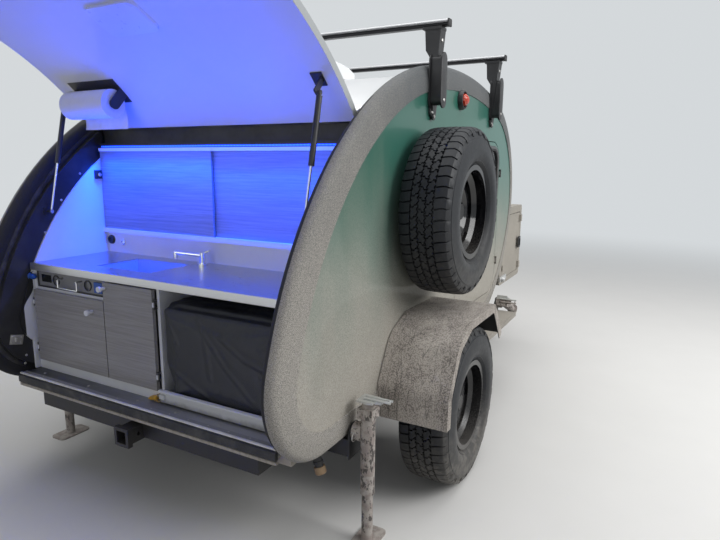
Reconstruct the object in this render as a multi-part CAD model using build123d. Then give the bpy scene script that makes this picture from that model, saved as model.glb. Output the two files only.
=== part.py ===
"""Off-road teardrop trailer with an open rear galley, in millimetres.

+X is the kerb (right) side, +Y the direction of travel, +Z up.  The ground is z = 0,
the axle line is y = 0 and the centre line is x = 0.  The trailer stands as it parks, on
its wheels, its two rear jacks and its tongue jack, with the galley hatch up.
"""
from build123d import *
import math
import os

os.makedirs("parts", exist_ok=True)

# Body outline seen from the side: tangent arcs, clockwise from the rear of the floor
FLOOR_Z = 420.0
TAIL_Y = -804.0
ARCS = (
    # radius, turn in degrees
    (305.0, 105.2),    # tail
    (1504.0, 67.0),    # back, which the hatch follows
    (2835.0, 22.0),    # roof
    (634.0, 97.1),     # nose
)

# Body across
WALL_OUT = 842.0
WALL_THICK = 45.0
RIM_IN = 770.0
RIM_OUT = 846.0
RIM_BAND = 110.0
RIM_NOSE = 34.0
RIM_NOSE_TURN = 75.0
SKIN_DROP = 38.0
SKIN_THICK = 35.0
FLOOR_THICK = 38.0

# Hatch
HATCH_THICK = 30.0
HATCH_SIDE_GAP = 16.0
HATCH_OPEN = 82.1
HINGE_Y = -442.8
HINGE_RAISE = 6.0
HATCH_LEAD = 17.0       # how far the hatch reaches forward of its hinge axis
HATCH_END_Z = 505.0
HINGE_SEGMENTS = 5
HINGE_BARREL = 110.0

# Galley
LINER_IN = 735.0
LINER_INSET = 175.0
JAMB_IN = 745.0
JAMB_INSET = 76.0
BULKHEAD_Y = -440.0
BOARD = 15.0
COUNTER_TOP = 990.0
COUNTER_THICK = 30.0
COUNTER_Y = -865.0
CABINET_Y = -850.0
SILL_TOP = 485.0
KICK_TOP = 525.0
SILL_Y = -955.0
PANEL_SHELF = 865.0
DIVIDER_X = -236.0
BAY_X = 66.0
LOCKER_BASE = 1095.0
LOCKER_TOP = 1520.0
LOCKER_DEPTH = 245.0
HEADER_Y = -420.0
HEADER_DEPTH = 40.0
HEADER_Z = 1530.0
SINK = (-250.0, -640.0, 340.0, 230.0, 130.0)    # centre x, centre y, width, depth, drop
DOOR_BOARD = 16.0
MOVE_GAP = 5.0
TRAY_RAIL = 21.0

# Wheels
TYRE_OD = 733.5
TYRE_WIDTH = 235.0
RIM_R = 203.0
RIM_WIDTH = 195.0
BEAD_DROP = 14.0
WHEEL_X = 1014.5
SPARE_X = 984.5
SPARE_Y = 20.0
FENDER_TOP = 1.214
SPARE_CLEAR = 69.3
SPARE_Z = TYRE_OD / 2 * (2 + FENDER_TOP) + SPARE_CLEAR
SPINDLE_R = 20.0

# Chassis
TUBE_W = 50.0
TUBE_H = 75.0
RAIL_X = 600.0
RAIL_REAR = -930.0
RAIL_FRONT = 1400.0
TONGUE_END = 2990.0
TONGUE_ROOT = 1000.0
TONGUE_NEST = 6.0
BALL_Y = 3060.0
BALL_D = 50.8
RECEIVER = 63.5
RECEIVER_BORE = 51.0
RECEIVER_MOUTH = -1012.0
RECEIVER_Z = 372.0
HITCH_PIN_R = 8.0

# Running fit at pins, and the face gap of a seated piece
FIT = 0.3
PIN_R = 3.0
KNUCKLE_R = 5.0

# Reach of cutting shapes, longer than the trailer
BEYOND = 3000.0


def save(name, *solids):
    """Write one node from one or more solids."""
    shape = solids[0] if len(solids) == 1 else Compound(children=list(solids))
    export_step(shape, f"parts/{name}.step")


def block(x0, x1, y0, y1, z0, z1):
    """Box between two corners."""
    return Pos((x0 + x1) / 2, (y0 + y1) / 2, (z0 + z1) / 2) * Box(x1 - x0, y1 - y0, z1 - z0)


def slab(sketch, x0, x1):
    """Side-view sketch in (y, z), made solid from x0 to x1."""
    return Pos(x0, 0, 0) * extrude(Plane.YZ * sketch, amount=x1 - x0)


def rod(radius, start, end):
    """Round bar between two points."""
    a = Vector(*start)
    b = Vector(*end)
    return extrude(Plane(origin=a, z_dir=b - a) * Circle(radius), amount=(b - a).length)


def poly(*points):
    """Filled polygon of 2-D points."""
    return make_face(Polyline(*points, close=True))


def mirrored(solid):
    """The same piece on the other side of the centre line."""
    return mirror(solid, about=Plane.YZ)


def arc_centres():
    """Centre, radius, start heading and turn of every arc of the outline."""
    found = []
    y = TAIL_Y
    z = FLOOR_Z
    heading = 180.0
    for radius, turn in ARCS:
        a = math.radians(heading - 90.0)
        centre = (y + radius * math.cos(a), z + radius * math.sin(a))
        found.append((centre, radius, heading, turn))
        heading -= turn
        b = math.radians(heading + 90.0)
        y = centre[0] + radius * math.cos(b)
        z = centre[1] + radius * math.sin(b)
    turn = 180.0 + heading
    radius = (z - FLOOR_Z) / (1.0 - math.cos(math.radians(turn)))
    a = math.radians(heading - 90.0)
    found.append(((y + radius * math.cos(a), z + radius * math.sin(a)), radius, heading, turn))
    return found


OUTLINE = arc_centres()


def outline(inset):
    """Side-view face of the body outline, moved inwards by inset."""
    edges = []
    for centre, radius, heading, turn in OUTLINE:
        points = []
        for part in (0.0, 0.5, 1.0):
            a = math.radians(heading + 90.0 - turn * part)
            r = radius - inset
            points.append((centre[0] + r * math.cos(a), centre[1] + r * math.sin(a)))
        edges.append(ThreePointArc(*points))
    edges.append(Line(edges[-1] @ 1, edges[0] @ 0))
    return make_face(Wire(edges))


def on_back(y, inset):
    """Height of the back arc, moved inwards by inset, at one y."""
    centre, radius = OUTLINE[1][0], OUTLINE[1][1]
    return centre[1] + math.sqrt((radius - inset) ** 2 - (y - centre[0]) ** 2)


def lug(vector, width):
    """Knuckle outline: a round eye at the origin with a web along vector."""
    length = math.hypot(*vector)
    side = (-vector[1] / length * width / 2, vector[0] / length * width / 2)
    web = poly(
        side,
        (vector[0] + side[0], vector[1] + side[1]),
        (vector[0] - side[0], vector[1] - side[1]),
        (-side[0], -side[1]),
    )
    return Circle(KNUCKLE_R) + web


def upright_hinge(x, y, z_list, to_fixed, to_moving, height=50.0):
    """Butt hinges on one vertical axis: fixed lugs with the pin, and moving barrels."""
    fixed = []
    moving = []
    lug_height = height / 4
    for z in z_list:
        low = z - height / 2
        pin = rod(PIN_R, (x, y, low), (x, y, low + height))
        for z0 in (low, low + height - lug_height):
            fixed.append(Pos(x, y, z0) * extrude(lug(to_fixed, KNUCKLE_R), amount=lug_height))
        fixed.append(pin)
        barrel = extrude(lug(to_moving, KNUCKLE_R), amount=height - 2 * lug_height - 1.0)
        barrel -= extrude(Circle(PIN_R + FIT), amount=height)
        moving.append(Pos(x, y, low + lug_height + 0.5) * barrel)
    return fixed, moving


# Chassis: rails, crossmembers, tongue, outriggers and jack plates
FRAME_TOP = FLOOR_Z
FRAME_BASE = FRAME_TOP - TUBE_H
CROSS_Y = (RAIL_REAR + TUBE_W / 2, -420.0, 430.0, RAIL_FRONT - TUBE_W / 2)
JACK_X = 912.0
JACK_PLATE_X = 849.0
JACK_PLATE = 7.0
JACKS = (
    # name, y, pivot z, head height, leg length, foot width, foot length, lean from upright
    ("rear", -630.0, 450.0, 150.0, 450.0, 100.0, 170.0, 0.0),
    ("front", 1360.0, 530.0, 110.0, 245.0, 66.0, 66.0, 68.0),
)
JACK_PIN_R = 15.0
BOX_X = 765.0
BOX_REAR = 1735.0
BOX_FRONT = 2340.0
BOX_BASE = 560.0
BOX_TOP = 1135.0
BOX_BARS = (BOX_REAR + 110.0, BOX_FRONT - 90.0)
TONGUE_JACK_Y = 2740.0


def tongue_x(y):
    """Centre line of the right tongue member at one y."""
    share = (TONGUE_END - y) / (TONGUE_END - TONGUE_ROOT)
    tip = TUBE_W / 2 - TONGUE_NEST
    return tip + (RAIL_X - tip) * share


def chassis():
    low, high = FRAME_BASE, FRAME_TOP
    frame = None
    for side in (-1, 1):
        x = side * RAIL_X
        rail = block(x - TUBE_W / 2, x + TUBE_W / 2, RAIL_REAR, RAIL_FRONT, low, high)
        frame = rail if frame is None else frame + rail
        inner = TUBE_W / 2
        member = poly(
            (side * (tongue_x(TONGUE_ROOT) - inner), TONGUE_ROOT),
            (side * (tongue_x(TONGUE_ROOT) + inner), TONGUE_ROOT),
            (side * (tongue_x(TONGUE_END) + inner), TONGUE_END),
            (side * (tongue_x(TONGUE_END) - inner), TONGUE_END),
        )
        frame += Pos(0, 0, low) * extrude(member, amount=TUBE_H)
    for y in CROSS_Y:
        frame += block(-RAIL_X, RAIL_X, y - TUBE_W / 2, y + TUBE_W / 2, low, high)
    for _, y, pivot, _, _, _, _, _ in JACKS:
        frame += block(
            -JACK_PLATE_X, JACK_PLATE_X, y - TUBE_W / 2, y + TUBE_W / 2, low, high - 5.0
        )
        for side in (-1, 1):
            plate = slab(
                poly((y - 45, low), (y + 45, low), (y + 45, pivot), (y + 20, pivot + 32),
                     (y - 20, pivot + 32), (y - 45, pivot)),
                JACK_PLATE_X, JACK_PLATE_X + JACK_PLATE,
            )
            plate += rod(JACK_PIN_R, (JACK_PLATE_X, y, pivot), (JACK_X - 22.0, y, pivot))
            frame += plate if side > 0 else mirrored(plate)
    for y in BOX_BARS:
        frame += block(-BOX_X + 60, BOX_X - 60, y - 20, y + 20, BOX_BASE - 30, BOX_BASE)
        for side in (-1, 1):
            x = side * tongue_x(y)
            frame += block(x - 20, x + 20, y - 20, y + 20, high, BOX_BASE - 20)
    gap = RECEIVER / 2
    frame -= block(
        -gap, gap, RAIL_REAR - 1, RAIL_REAR + TUBE_W + 1, RECEIVER_Z - gap, RECEIVER_Z + gap
    )
    return frame


save("chassis_frame", chassis())


def receiver():
    half = RECEIVER / 2
    bore = RECEIVER_BORE / 2
    inner_end = -630.0 - TUBE_W / 2
    tube = block(-half, half, RECEIVER_MOUTH, inner_end, RECEIVER_Z - half, RECEIVER_Z + half)
    collar = half + 8
    tube += block(
        -collar, collar, RECEIVER_MOUTH, RECEIVER_MOUTH + 22, RECEIVER_Z - collar,
        RECEIVER_Z + collar
    )
    tube -= block(
        -bore, bore, RECEIVER_MOUTH - 1, inner_end + 1, RECEIVER_Z - bore, RECEIVER_Z + bore
    )
    pin_y = RECEIVER_MOUTH + 60.0
    tube -= rod(HITCH_PIN_R, (-half - 9, pin_y, RECEIVER_Z), (half + 9, pin_y, RECEIVER_Z))
    return tube


save("receiver_tube", receiver())


def coupler():
    """Pressed coupler: channel on the tongue, round nose and a ball socket below."""
    top = FRAME_TOP
    nose_r = BALL_D / 2 + 9
    centre = Vector(0, BALL_Y, top + 14)
    shell = block(-34, 34, TONGUE_END - 190, BALL_Y - 10, top, top + 62)
    shell += Pos(*centre) * Sphere(nose_r)
    shell += rod(nose_r, (0, BALL_Y, top - 12), (0, BALL_Y, top + 14))
    shell += rod(9, (0, BALL_Y - 66, top + 50), (0, BALL_Y - 66, top + 84))
    shell += block(-12, 12, BALL_Y - 120, BALL_Y - 60, top + 78, top + 88)
    shell -= Pos(*centre) * Sphere(BALL_D / 2 + FIT)
    shell -= rod(BALL_D / 2 + FIT, (0, BALL_Y, top - 30), (0, BALL_Y, top + 14))
    return shell


save("coupler", coupler())


# Axle: torsion beam, trailing arms and spindles
AXLE_Y = 150.0
AXLE_BEAM = 60.0
AXLE_END = 800.0
WHEEL_Z = TYRE_OD / 2
HUB_IN = 905.0


def axle():
    top = FRAME_BASE
    beam = block(
        -AXLE_END, AXLE_END, AXLE_Y - AXLE_BEAM / 2, AXLE_Y + AXLE_BEAM / 2, top - AXLE_BEAM, top
    )
    for side in (-1, 1):
        pivot = (AXLE_Y, top - AXLE_BEAM / 2)
        arm = slab(
            poly((pivot[0] - 10, pivot[1] + 34), (pivot[0] + 34, pivot[1] + 20),
                 (pivot[0] + 34, pivot[1] - 20), (pivot[0] - 10, pivot[1] - 34),
                 (-26, WHEEL_Z - 30), (-30, WHEEL_Z + 28)),
            AXLE_END - 20, AXLE_END + 20,
        )
        arm += rod(SPINDLE_R, (AXLE_END, 0, WHEEL_Z), (WHEEL_X + 8, 0, WHEEL_Z))
        arm += rod(42, (AXLE_END + 10, 0, WHEEL_Z), (HUB_IN - 6, 0, WHEEL_Z))
        beam += arm if side > 0 else mirrored(arm)
    return beam


save("axle_beam", axle())


# Wheels
def tyre():
    """Tyre about its own centre, axis along X, with grooves round the tread."""
    outer = TYRE_OD / 2
    half = TYRE_WIDTH / 2
    tread = half - 20
    bead = RIM_WIDTH / 2 - 13.5
    seat = RIM_R - BEAD_DROP + FIT
    section = make_face(Wire([
        Line((-bead, seat), (-bead - 8, RIM_R + 12)),
        ThreePointArc((-bead - 8, RIM_R + 12), (-half, 274), (-half + 8, outer - 32)),
        ThreePointArc((-half + 8, outer - 32), (-tread - 4, outer - 13), (-tread + 12, outer - 4)),
        ThreePointArc((-tread + 12, outer - 4), (0, outer), (tread - 12, outer - 4)),
        ThreePointArc((tread - 12, outer - 4), (tread + 4, outer - 13), (half - 8, outer - 32)),
        ThreePointArc((half - 8, outer - 32), (half, 274), (bead + 8, RIM_R + 12)),
        Line((bead + 8, RIM_R + 12), (bead, seat)),
        Line((bead, seat), (bead - 14, seat)),
        ThreePointArc((bead - 14, seat), (half - 16, 274), (tread - 22, outer - 22)),
        Line((tread - 22, outer - 22), (-tread + 22, outer - 22)),
        ThreePointArc((-tread + 22, outer - 22), (-half + 16, 274), (-bead + 14, seat)),
        Line((-bead + 14, seat), (-bead, seat)),
    ]))
    return revolve(section, axis=Axis.X)


def wheel_rim(hub):
    """Pressed steel wheel about its own centre, with or without its hub and drum."""
    half = RIM_WIDTH / 2
    r = RIM_R - 4
    seat = RIM_R - BEAD_DROP
    section = poly(
        (-half, r + 6), (-half + 7, r + 6), (-half + 7, seat), (-half + 40, seat),
        (-half + 58, r - 34), (half - 58, r - 34), (half - 40, seat), (half - 7, seat),
        (half - 7, r + 6), (half, r + 6), (half, r - 16), (half - 44, r - 18),
        (half - 62, r - 40), (-half + 62, r - 40), (-half + 44, r - 18), (-half, r - 16),
    )
    rim = revolve(section, axis=Axis.X)
    disc = poly(
        (8, 40), (14, 40), (14, 86), (30, 112), (30, 134), (8, r - 36), (2, r - 36),
        (22, 130), (22, 114), (8, 92),
    )
    rim += revolve(disc, axis=Axis.X)
    for i in range(8):
        hole = Rot(45.0 * i, 0, 0) * Pos(20, 0, 138) * Rot(0, 90, 0)
        rim -= hole * extrude(SlotOverall(46, 26, rotation=90), amount=60, both=True)
    for i in range(6):
        a = math.radians(60 * i + 30)
        rim += rod(7, (8, 62 * math.cos(a), 62 * math.sin(a)), (26, 62 * math.cos(a), 62 * math.sin(a)))
    if hub:
        rim += rod(56, (HUB_IN - WHEEL_X, 0, 0), (10, 0, 0))
        rim += rod(128, (HUB_IN - WHEEL_X, 0, 0), (HUB_IN - WHEEL_X + 50, 0, 0))
        rim += rod(34, (8, 0, 0), (52, 0, 0))
        rim -= rod(SPINDLE_R + FIT, (HUB_IN - WHEEL_X - 1, 0, 0), (14, 0, 0))
    return rim


TYRE = tyre()
RUNNING_RIM = wheel_rim(True)
for side_name, side in (("right", 1), ("left", -1)):
    for node, solid in (("tyre", TYRE), ("wheel_rim", RUNNING_RIM)):
        placed = Pos(WHEEL_X, 0, WHEEL_Z) * solid
        save(f"{node}_{side_name}", placed if side > 0 else mirrored(placed))

save("spare_tyre", Pos(SPARE_X, SPARE_Y, SPARE_Z) * TYRE)
save("spare_rim", Pos(SPARE_X, SPARE_Y, SPARE_Z) * wheel_rim(False))


def spare_carrier():
    face = SPARE_X + 8
    carrier = block(
        WALL_OUT, WALL_OUT + 6, SPARE_Y - 110, SPARE_Y + 110, SPARE_Z - 110, SPARE_Z + 110
    )
    carrier += rod(48, (WALL_OUT, SPARE_Y, SPARE_Z), (face - 8, SPARE_Y, SPARE_Z))
    carrier += rod(88, (face - 8, SPARE_Y, SPARE_Z), (face, SPARE_Y, SPARE_Z))
    carrier += rod(34, (face - 1, SPARE_Y, SPARE_Z), (face + 34, SPARE_Y, SPARE_Z))
    return carrier


save("spare_carrier", spare_carrier())


# Fenders and side steps
FENDER_IN = RIM_OUT + FIT
FENDER_OVER = 22.5
FENDER_OUT = WHEEL_X + TYRE_WIDTH / 2 + FENDER_OVER
FENDER_SKIRT = 40.0
FENDER_SHEET = 4.0
FENDER_SHAPE = (
    # y and z from the wheel's centre, in tyre radii, and corner radius
    (-1.172, 0.159, 0.0),
    (-1.156, 0.527, 120.0),
    (-0.867, 1.031, 120.0),
    (-0.436, FENDER_TOP, 90.0),
    (0.534, 1.203, 30.0),
    (0.913, 0.723, 0.0),
)
FENDER = [(y * WHEEL_Z, WHEEL_Z + z * WHEEL_Z, radius) for y, z, radius in FENDER_SHAPE]


def inset_path(points, distance):
    """Move an open path sideways by distance, with mitred corners."""
    moved = []
    last = len(points) - 1
    for i, (y, z) in enumerate(points):
        before = points[max(i - 1, 0)]
        after = points[min(i + 1, last)]
        normals = []
        for (ya, za), (yb, zb) in (((before), (y, z)), ((y, z), (after))):
            length = math.hypot(yb - ya, zb - za)
            if length > 0:
                normals.append(((zb - za) / length, (ya - yb) / length))
        ny = sum(n[0] for n in normals) / len(normals)
        nz = sum(n[1] for n in normals) / len(normals)
        scale = distance / (ny * ny + nz * nz)
        moved.append((y + ny * scale, z + nz * scale))
    return moved


def path_band(rows, depth):
    """Band of given depth on the inner side of a rounded path."""
    points = [(y, z) for y, z, _ in rows]
    radii = [r for _, _, r in rows[1:-1]]
    outer = FilletPolyline(*points, radius=radii)
    inner = FilletPolyline(*inset_path(points, depth), radius=[max(r - depth, 1.0) for r in radii])
    ends = [Line(outer @ 0, inner @ 0), Line(outer @ 1, inner @ 1)]
    return make_face(Wire(list(outer.edges()) + list(inner.edges()) + ends))


def fender():
    sheet = slab(path_band(FENDER, FENDER_SHEET), FENDER_IN, FENDER_OUT)
    skirt = slab(path_band(FENDER, FENDER_SKIRT), FENDER_OUT - FENDER_SHEET, FENDER_OUT)
    return sheet + skirt


FENDER_SOLID = fender()
save("fenders", FENDER_SOLID, mirrored(FENDER_SOLID))

STEP_REAR = 500.0
STEP_FRONT = 1268.0
STEP_IN = 860.0
STEP_OUT = 1010.0
STEP_TOP = 500.0
STEP_DEEP = 25.0


def side_step():
    tread = block(STEP_IN, STEP_OUT, STEP_REAR, STEP_FRONT, STEP_TOP - STEP_DEEP, STEP_TOP)
    tread -= block(
        STEP_IN + 5, STEP_OUT - 5, STEP_REAR + 5, STEP_FRONT - 5, STEP_TOP - STEP_DEEP - 1,
        STEP_TOP - 5
    )
    rail_face = RAIL_X + TUBE_W / 2
    for y in (STEP_REAR + 140, STEP_FRONT - 140):
        tread += block(rail_face, STEP_IN + 40, y - 20, y + 20, FRAME_BASE + 10, FRAME_BASE + 50)
        tread += block(STEP_IN, STEP_IN + 40, y - 20, y + 20, FRAME_BASE + 10, STEP_TOP - 4)
    return tread


STEP_SOLID = side_step()
save("side_steps", STEP_SOLID, mirrored(STEP_SOLID))


# Body shell
def rim_section(plane):
    """Bull-nosed section of the edge rim: x across, and minus the inset upwards."""
    crest = RIM_IN + RIM_NOSE
    turn = math.radians(RIM_NOSE_TURN)
    rest = 1.0 - math.sin(turn)
    wide = (RIM_OUT - crest - RIM_NOSE * math.sin(turn)) / rest
    deep = RIM_NOSE + (wide - RIM_NOSE) * math.cos(turn)

    def on_nose(angle):
        return (crest + RIM_NOSE * math.sin(angle), RIM_NOSE * math.cos(angle) - RIM_NOSE)

    def on_shoulder(angle):
        return (RIM_OUT - wide + wide * math.sin(angle), wide * math.cos(angle) - deep)

    upright = math.radians(90.0)
    edges = [
        Line((RIM_IN, -RIM_BAND), (RIM_IN, -RIM_NOSE)),
        ThreePointArc((RIM_IN, -RIM_NOSE), on_nose(-upright / 2), (crest, 0)),
        ThreePointArc((crest, 0), on_nose(turn / 2), on_nose(turn)),
        ThreePointArc(on_shoulder(turn), on_shoulder((turn + upright) / 2), (RIM_OUT, -deep)),
        Line((RIM_OUT, -deep), (RIM_OUT, -RIM_BAND)),
        Line((RIM_OUT, -RIM_BAND), (RIM_IN, -RIM_BAND)),
    ]
    return plane * make_face(Wire(edges))


def rim_ring():
    """Right edge rim: one section swept round every arc, and along the flat bottom."""
    ring = None
    for centre, radius, heading, turn in OUTLINE:
        a = math.radians(heading + 90.0)
        out = Vector(0, math.cos(a), math.sin(a))
        middle = Vector(0, *centre)
        plane = Plane(
            origin=middle + out * radius, x_dir=(1, 0, 0), z_dir=(0, -math.sin(a), math.cos(a))
        )
        bend = revolve(rim_section(plane), axis=Axis(tuple(middle), (-1, 0, 0)), revolution_arc=turn)
        ring = bend if ring is None else ring + bend
    belly_end = OUTLINE[-1][0][0]
    plane = Plane(origin=(0, TAIL_Y, FLOOR_Z), x_dir=(1, 0, 0), z_dir=(0, 1, 0))
    return ring + extrude(rim_section(plane), amount=belly_end - TAIL_Y)


RING = rim_ring()
save("edge_rims", RING, mirrored(RING))

DOOR_REAR = 500.0
DOOR_FRONT = 1290.0
DOOR_BASE = 640.0
DOOR_TOP = 1588.0
DOOR_CORNER = 150.0
DOOR_RANGE = 105.0
DOOR_AXIS = (WALL_OUT + 8.0, DOOR_FRONT + 6.0)
DOOR_HINGES = (DOOR_BASE + 190.0, DOOR_TOP - 190.0)
WINDOW_REAR = 760.0
WINDOW_FRONT = 1250.0
WINDOW_BASE = 1210.0
WINDOW_TOP = 1550.0
WINDOW_CORNER = 90.0


def round_rect(y0, y1, z0, z1, radius):
    """Rounded rectangle in the side view."""
    return Pos((y0 + y1) / 2, (z0 + z1) / 2) * RectangleRounded(y1 - y0, z1 - z0, radius)


def door_outline(grow):
    return round_rect(
        DOOR_REAR - grow, DOOR_FRONT + grow, DOOR_BASE - grow, DOOR_TOP + grow, DOOR_CORNER + grow
    )


wall_in = WALL_OUT - WALL_THICK
lugs, barrels = upright_hinge(*DOOR_AXIS, DOOR_HINGES, (-12.0, 10.0), (-12.0, -14.0))


def side_wall():
    panel = slab(outline(RIM_BAND) - door_outline(MOVE_GAP), wall_in, WALL_OUT)
    for piece in lugs:
        panel += piece
    return panel


def window_outline(grow):
    return round_rect(
        WINDOW_REAR - grow, WINDOW_FRONT + grow, WINDOW_BASE - grow, WINDOW_TOP + grow,
        WINDOW_CORNER + grow
    )


def cabin_door():
    """Door leaf with window opening, rubber frame, handle and hinge barrels."""
    leaf = slab(door_outline(0) - window_outline(0), wall_in, WALL_OUT)
    leaf += slab(window_outline(14) - window_outline(0), WALL_OUT - 1, WALL_OUT + 5)
    handle_y = DOOR_REAR + 62
    handle_z = DOOR_BASE + 430
    leaf += block(WALL_OUT - 1, WALL_OUT + 8, handle_y - 45, handle_y + 45, handle_z - 32, handle_z + 32)
    leaf += block(WALL_OUT, WALL_OUT + 24, handle_y - 36, handle_y + 30, handle_z - 10, handle_z + 10)
    for piece in barrels:
        leaf += piece
    return leaf


WALL = side_wall()
DOOR = cabin_door()
GLASS = slab(window_outline(-FIT), WALL_OUT - 12, WALL_OUT - 7)
save("side_walls", WALL, mirrored(WALL))
save("cabin_door_right", DOOR)
save("cabin_door_left", mirrored(DOOR))
save("door_window_right", GLASS)
save("door_window_left", mirrored(GLASS))

BACK_CENTRE = OUTLINE[1][0]
HINGE_Z = on_back(HINGE_Y, SKIN_DROP - HINGE_RAISE)
HINGE_AWAY = math.hypot(HINGE_Y - BACK_CENTRE[0], HINGE_Z - BACK_CENTRE[1])
UP = ((HINGE_Y - BACK_CENTRE[0]) / HINGE_AWAY, (HINGE_Z - BACK_CENTRE[1]) / HINGE_AWAY)
REARWARD = (-UP[1], UP[0])


def behind_hinge(gap):
    """Side-view area behind the hinge line, moved back by gap."""
    up = Vector(*UP) * BEYOND
    back = Vector(*REARWARD)
    base = Vector(*BACK_CENTRE) + back * gap
    return poly(base + up, base + up + back * BEYOND, base - up + back * BEYOND, base - up)


VENT_Y = 380.0
VENT_HALF = 190.0
VENT_HOLE = 160.0
ROOF_TOP = OUTLINE[2][0][1] + OUTLINE[2][1]
SKIRT_Z = 700.0


def roof_shell():
    band = outline(SKIN_DROP) - outline(SKIN_DROP + SKIN_THICK)
    belly_end = OUTLINE[-1][0][0]
    band -= behind_hinge(-HATCH_LEAD - MOVE_GAP)
    band -= poly((-BEYOND, 0), (belly_end, 0), (belly_end, SKIRT_Z), (-BEYOND, SKIRT_Z))
    return slab(band, -RIM_IN, RIM_IN) - vent_hole()


def vent_hole():
    low = ROOF_TOP - 4 * SKIN_THICK
    return block(-VENT_HOLE, VENT_HOLE, VENT_Y - VENT_HOLE, VENT_Y + VENT_HOLE, low, ROOF_TOP)


save("roof_shell", roof_shell())


def floor_deck():
    front = OUTLINE[-1][0][0] + 120
    deck = block(-RIM_IN, RIM_IN, RAIL_REAR, front, FLOOR_Z, FLOOR_Z + FLOOR_THICK)
    deck += block(-LINER_IN, LINER_IN, SILL_Y, CABINET_Y, FLOOR_Z + FLOOR_THICK - 6, SILL_TOP)
    return deck


save("floor_deck", floor_deck())


def sill_lip():
    lip = block(-LINER_IN, LINER_IN, SILL_Y - 8, SILL_Y + 24, SILL_TOP, SILL_TOP + 4)
    lip += block(-LINER_IN, LINER_IN, SILL_Y - 8, SILL_Y - 4, SILL_TOP - 35, SILL_TOP + 4)
    return lip


save("sill_lip", sill_lip())


# Hatch, hinge and struts
def hinge_spans():
    """Start of every moving barrel along x."""
    pitch = 2 * (RIM_IN - 60) / HINGE_SEGMENTS
    return [-RIM_IN + 60 + pitch * (i + 0.5) - HINGE_BARREL / 2 for i in range(HINGE_SEGMENTS)]


def at_hinge(sketch, x0, x1):
    return Pos(0, HINGE_Y, HINGE_Z) * slab(sketch, x0, x1)


def hinge_poly(*points):
    """Polygon about the hinge axis, each point as (way back, way up) from the axis."""
    return poly(*[
        (REARWARD[0] * back + UP[0] * up, REARWARD[1] * back + UP[1] * up) for back, up in points
    ])


def hinge_rail():
    """Full-length pin, with lugs on a leaf that lies on the end of the roof skin."""
    near = -HATCH_LEAD - MOVE_GAP - 2
    far = near - 34
    leaf = outline_at_hinge(SKIN_DROP - 4) - outline_at_hinge(SKIN_DROP)
    leaf &= hinge_poly((near, 20), (near, -20), (far, -20), (far, 20))
    low = -HINGE_RAISE + 4
    web = hinge_poly((0, low), (0, KNUCKLE_R - 2), (near - 3, low + 3), (near - 3, low - 3), (near, low))
    rail = at_hinge(Circle(PIN_R), -RIM_IN + 20, RIM_IN - 20)
    rail += at_hinge(leaf, -RIM_IN + 20, RIM_IN - 20)
    edges = [-RIM_IN + 20]
    for x in hinge_spans():
        edges += [x - 1, x + HINGE_BARREL + 1]
    edges.append(RIM_IN - 20)
    for i in range(0, len(edges), 2):
        rail += at_hinge(Circle(KNUCKLE_R) + web, edges[i], edges[i + 1])
    return rail


def outline_at_hinge(inset):
    return Pos(-HINGE_Y, -HINGE_Z) * outline(inset)


save("hinge_rail", hinge_rail())

HATCH_HALF = RIM_IN - HATCH_SIDE_GAP
HATCH_AXIS = Axis((0, HINGE_Y, HINGE_Z), (1, 0, 0))


def hatch_open(solid):
    """Turn a piece of the closed hatch to the open rest position."""
    return solid.rotate(HATCH_AXIS, -HATCH_OPEN)


def hatch_shell():
    """Hatch skin with its hinge barrels, in the closed position."""
    band = outline(SKIN_DROP) - outline(SKIN_DROP + HATCH_THICK)
    band &= behind_hinge(-HATCH_LEAD)
    band -= poly((-BEYOND, 0), (BEYOND, 0), (BEYOND, HATCH_END_Z), (-BEYOND, HATCH_END_Z))
    shell = slab(band, -HATCH_HALF, HATCH_HALF)
    skin = -HINGE_RAISE
    web = hinge_poly((0, skin + 2), (0, KNUCKLE_R - 2), (26, skin + 3), (26, skin - 3), (5, skin - 3))
    for x in hinge_spans():
        shell += at_hinge((Circle(KNUCKLE_R) + web) - Circle(PIN_R + FIT), x, x + HINGE_BARREL)
    return shell


HATCH = hatch_shell()
save("hatch_shell", hatch_open(HATCH))

STRUT_X = 712.0
STRUT_TOP = (-645.0, 1700.0)      # on the open hatch
STRUT_FOOT = (-755.0, 1222.0)
STRUT_TUBE_R = 11.0
STRUT_ROD_R = 5.0
STRUT_TUBE = 262.0
STRUT_PIN_R = 4.0
STRUT_EYE_HALF = 7.0
ROLL_X = (-650.0, -362.0)
ROLL_YZ = (-650.0, 1705.0)        # on the open hatch
ROLL_R = 62.0
ROLL_CORE_R = 20.0
HOLDER_HALF = 25.0
HOLDER_DEEP = 130.0
HOLDER_PLATE = (-625.0, 1745.0)


def turned(point, degrees):
    """A side-view point turned about the hatch hinge."""
    a = math.radians(degrees)
    y = point[0] - HINGE_Y
    z = point[1] - HINGE_Z
    return (HINGE_Y + y * math.cos(a) - z * math.sin(a), HINGE_Z + y * math.sin(a) + z * math.cos(a))


def to_skin(point, inset):
    """Foot of a side-view point of the closed hatch on the skin's inner face."""
    dy = point[0] - BACK_CENTRE[0]
    dz = point[1] - BACK_CENTRE[1]
    scale = (OUTLINE[1][1] - inset) / math.hypot(dy, dz)
    return (BACK_CENTRE[0] + dy * scale, BACK_CENTRE[1] + dz * scale)


def stem(point, inset, width, x0, x1):
    """Flat arm from a point of the closed hatch out to the skin."""
    foot = to_skin(point, inset)
    along = (foot[0] - point[0], foot[1] - point[1])
    length = math.hypot(*along)
    side = (-along[1] / length * width / 2, along[0] / length * width / 2)
    return slab(
        poly(
            (point[0] + side[0], point[1] + side[1]), (foot[0] + side[0], foot[1] + side[1]),
            (foot[0] - side[0], foot[1] - side[1]), (point[0] - side[0], point[1] - side[1]),
        ),
        x0, x1,
    )


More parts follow.
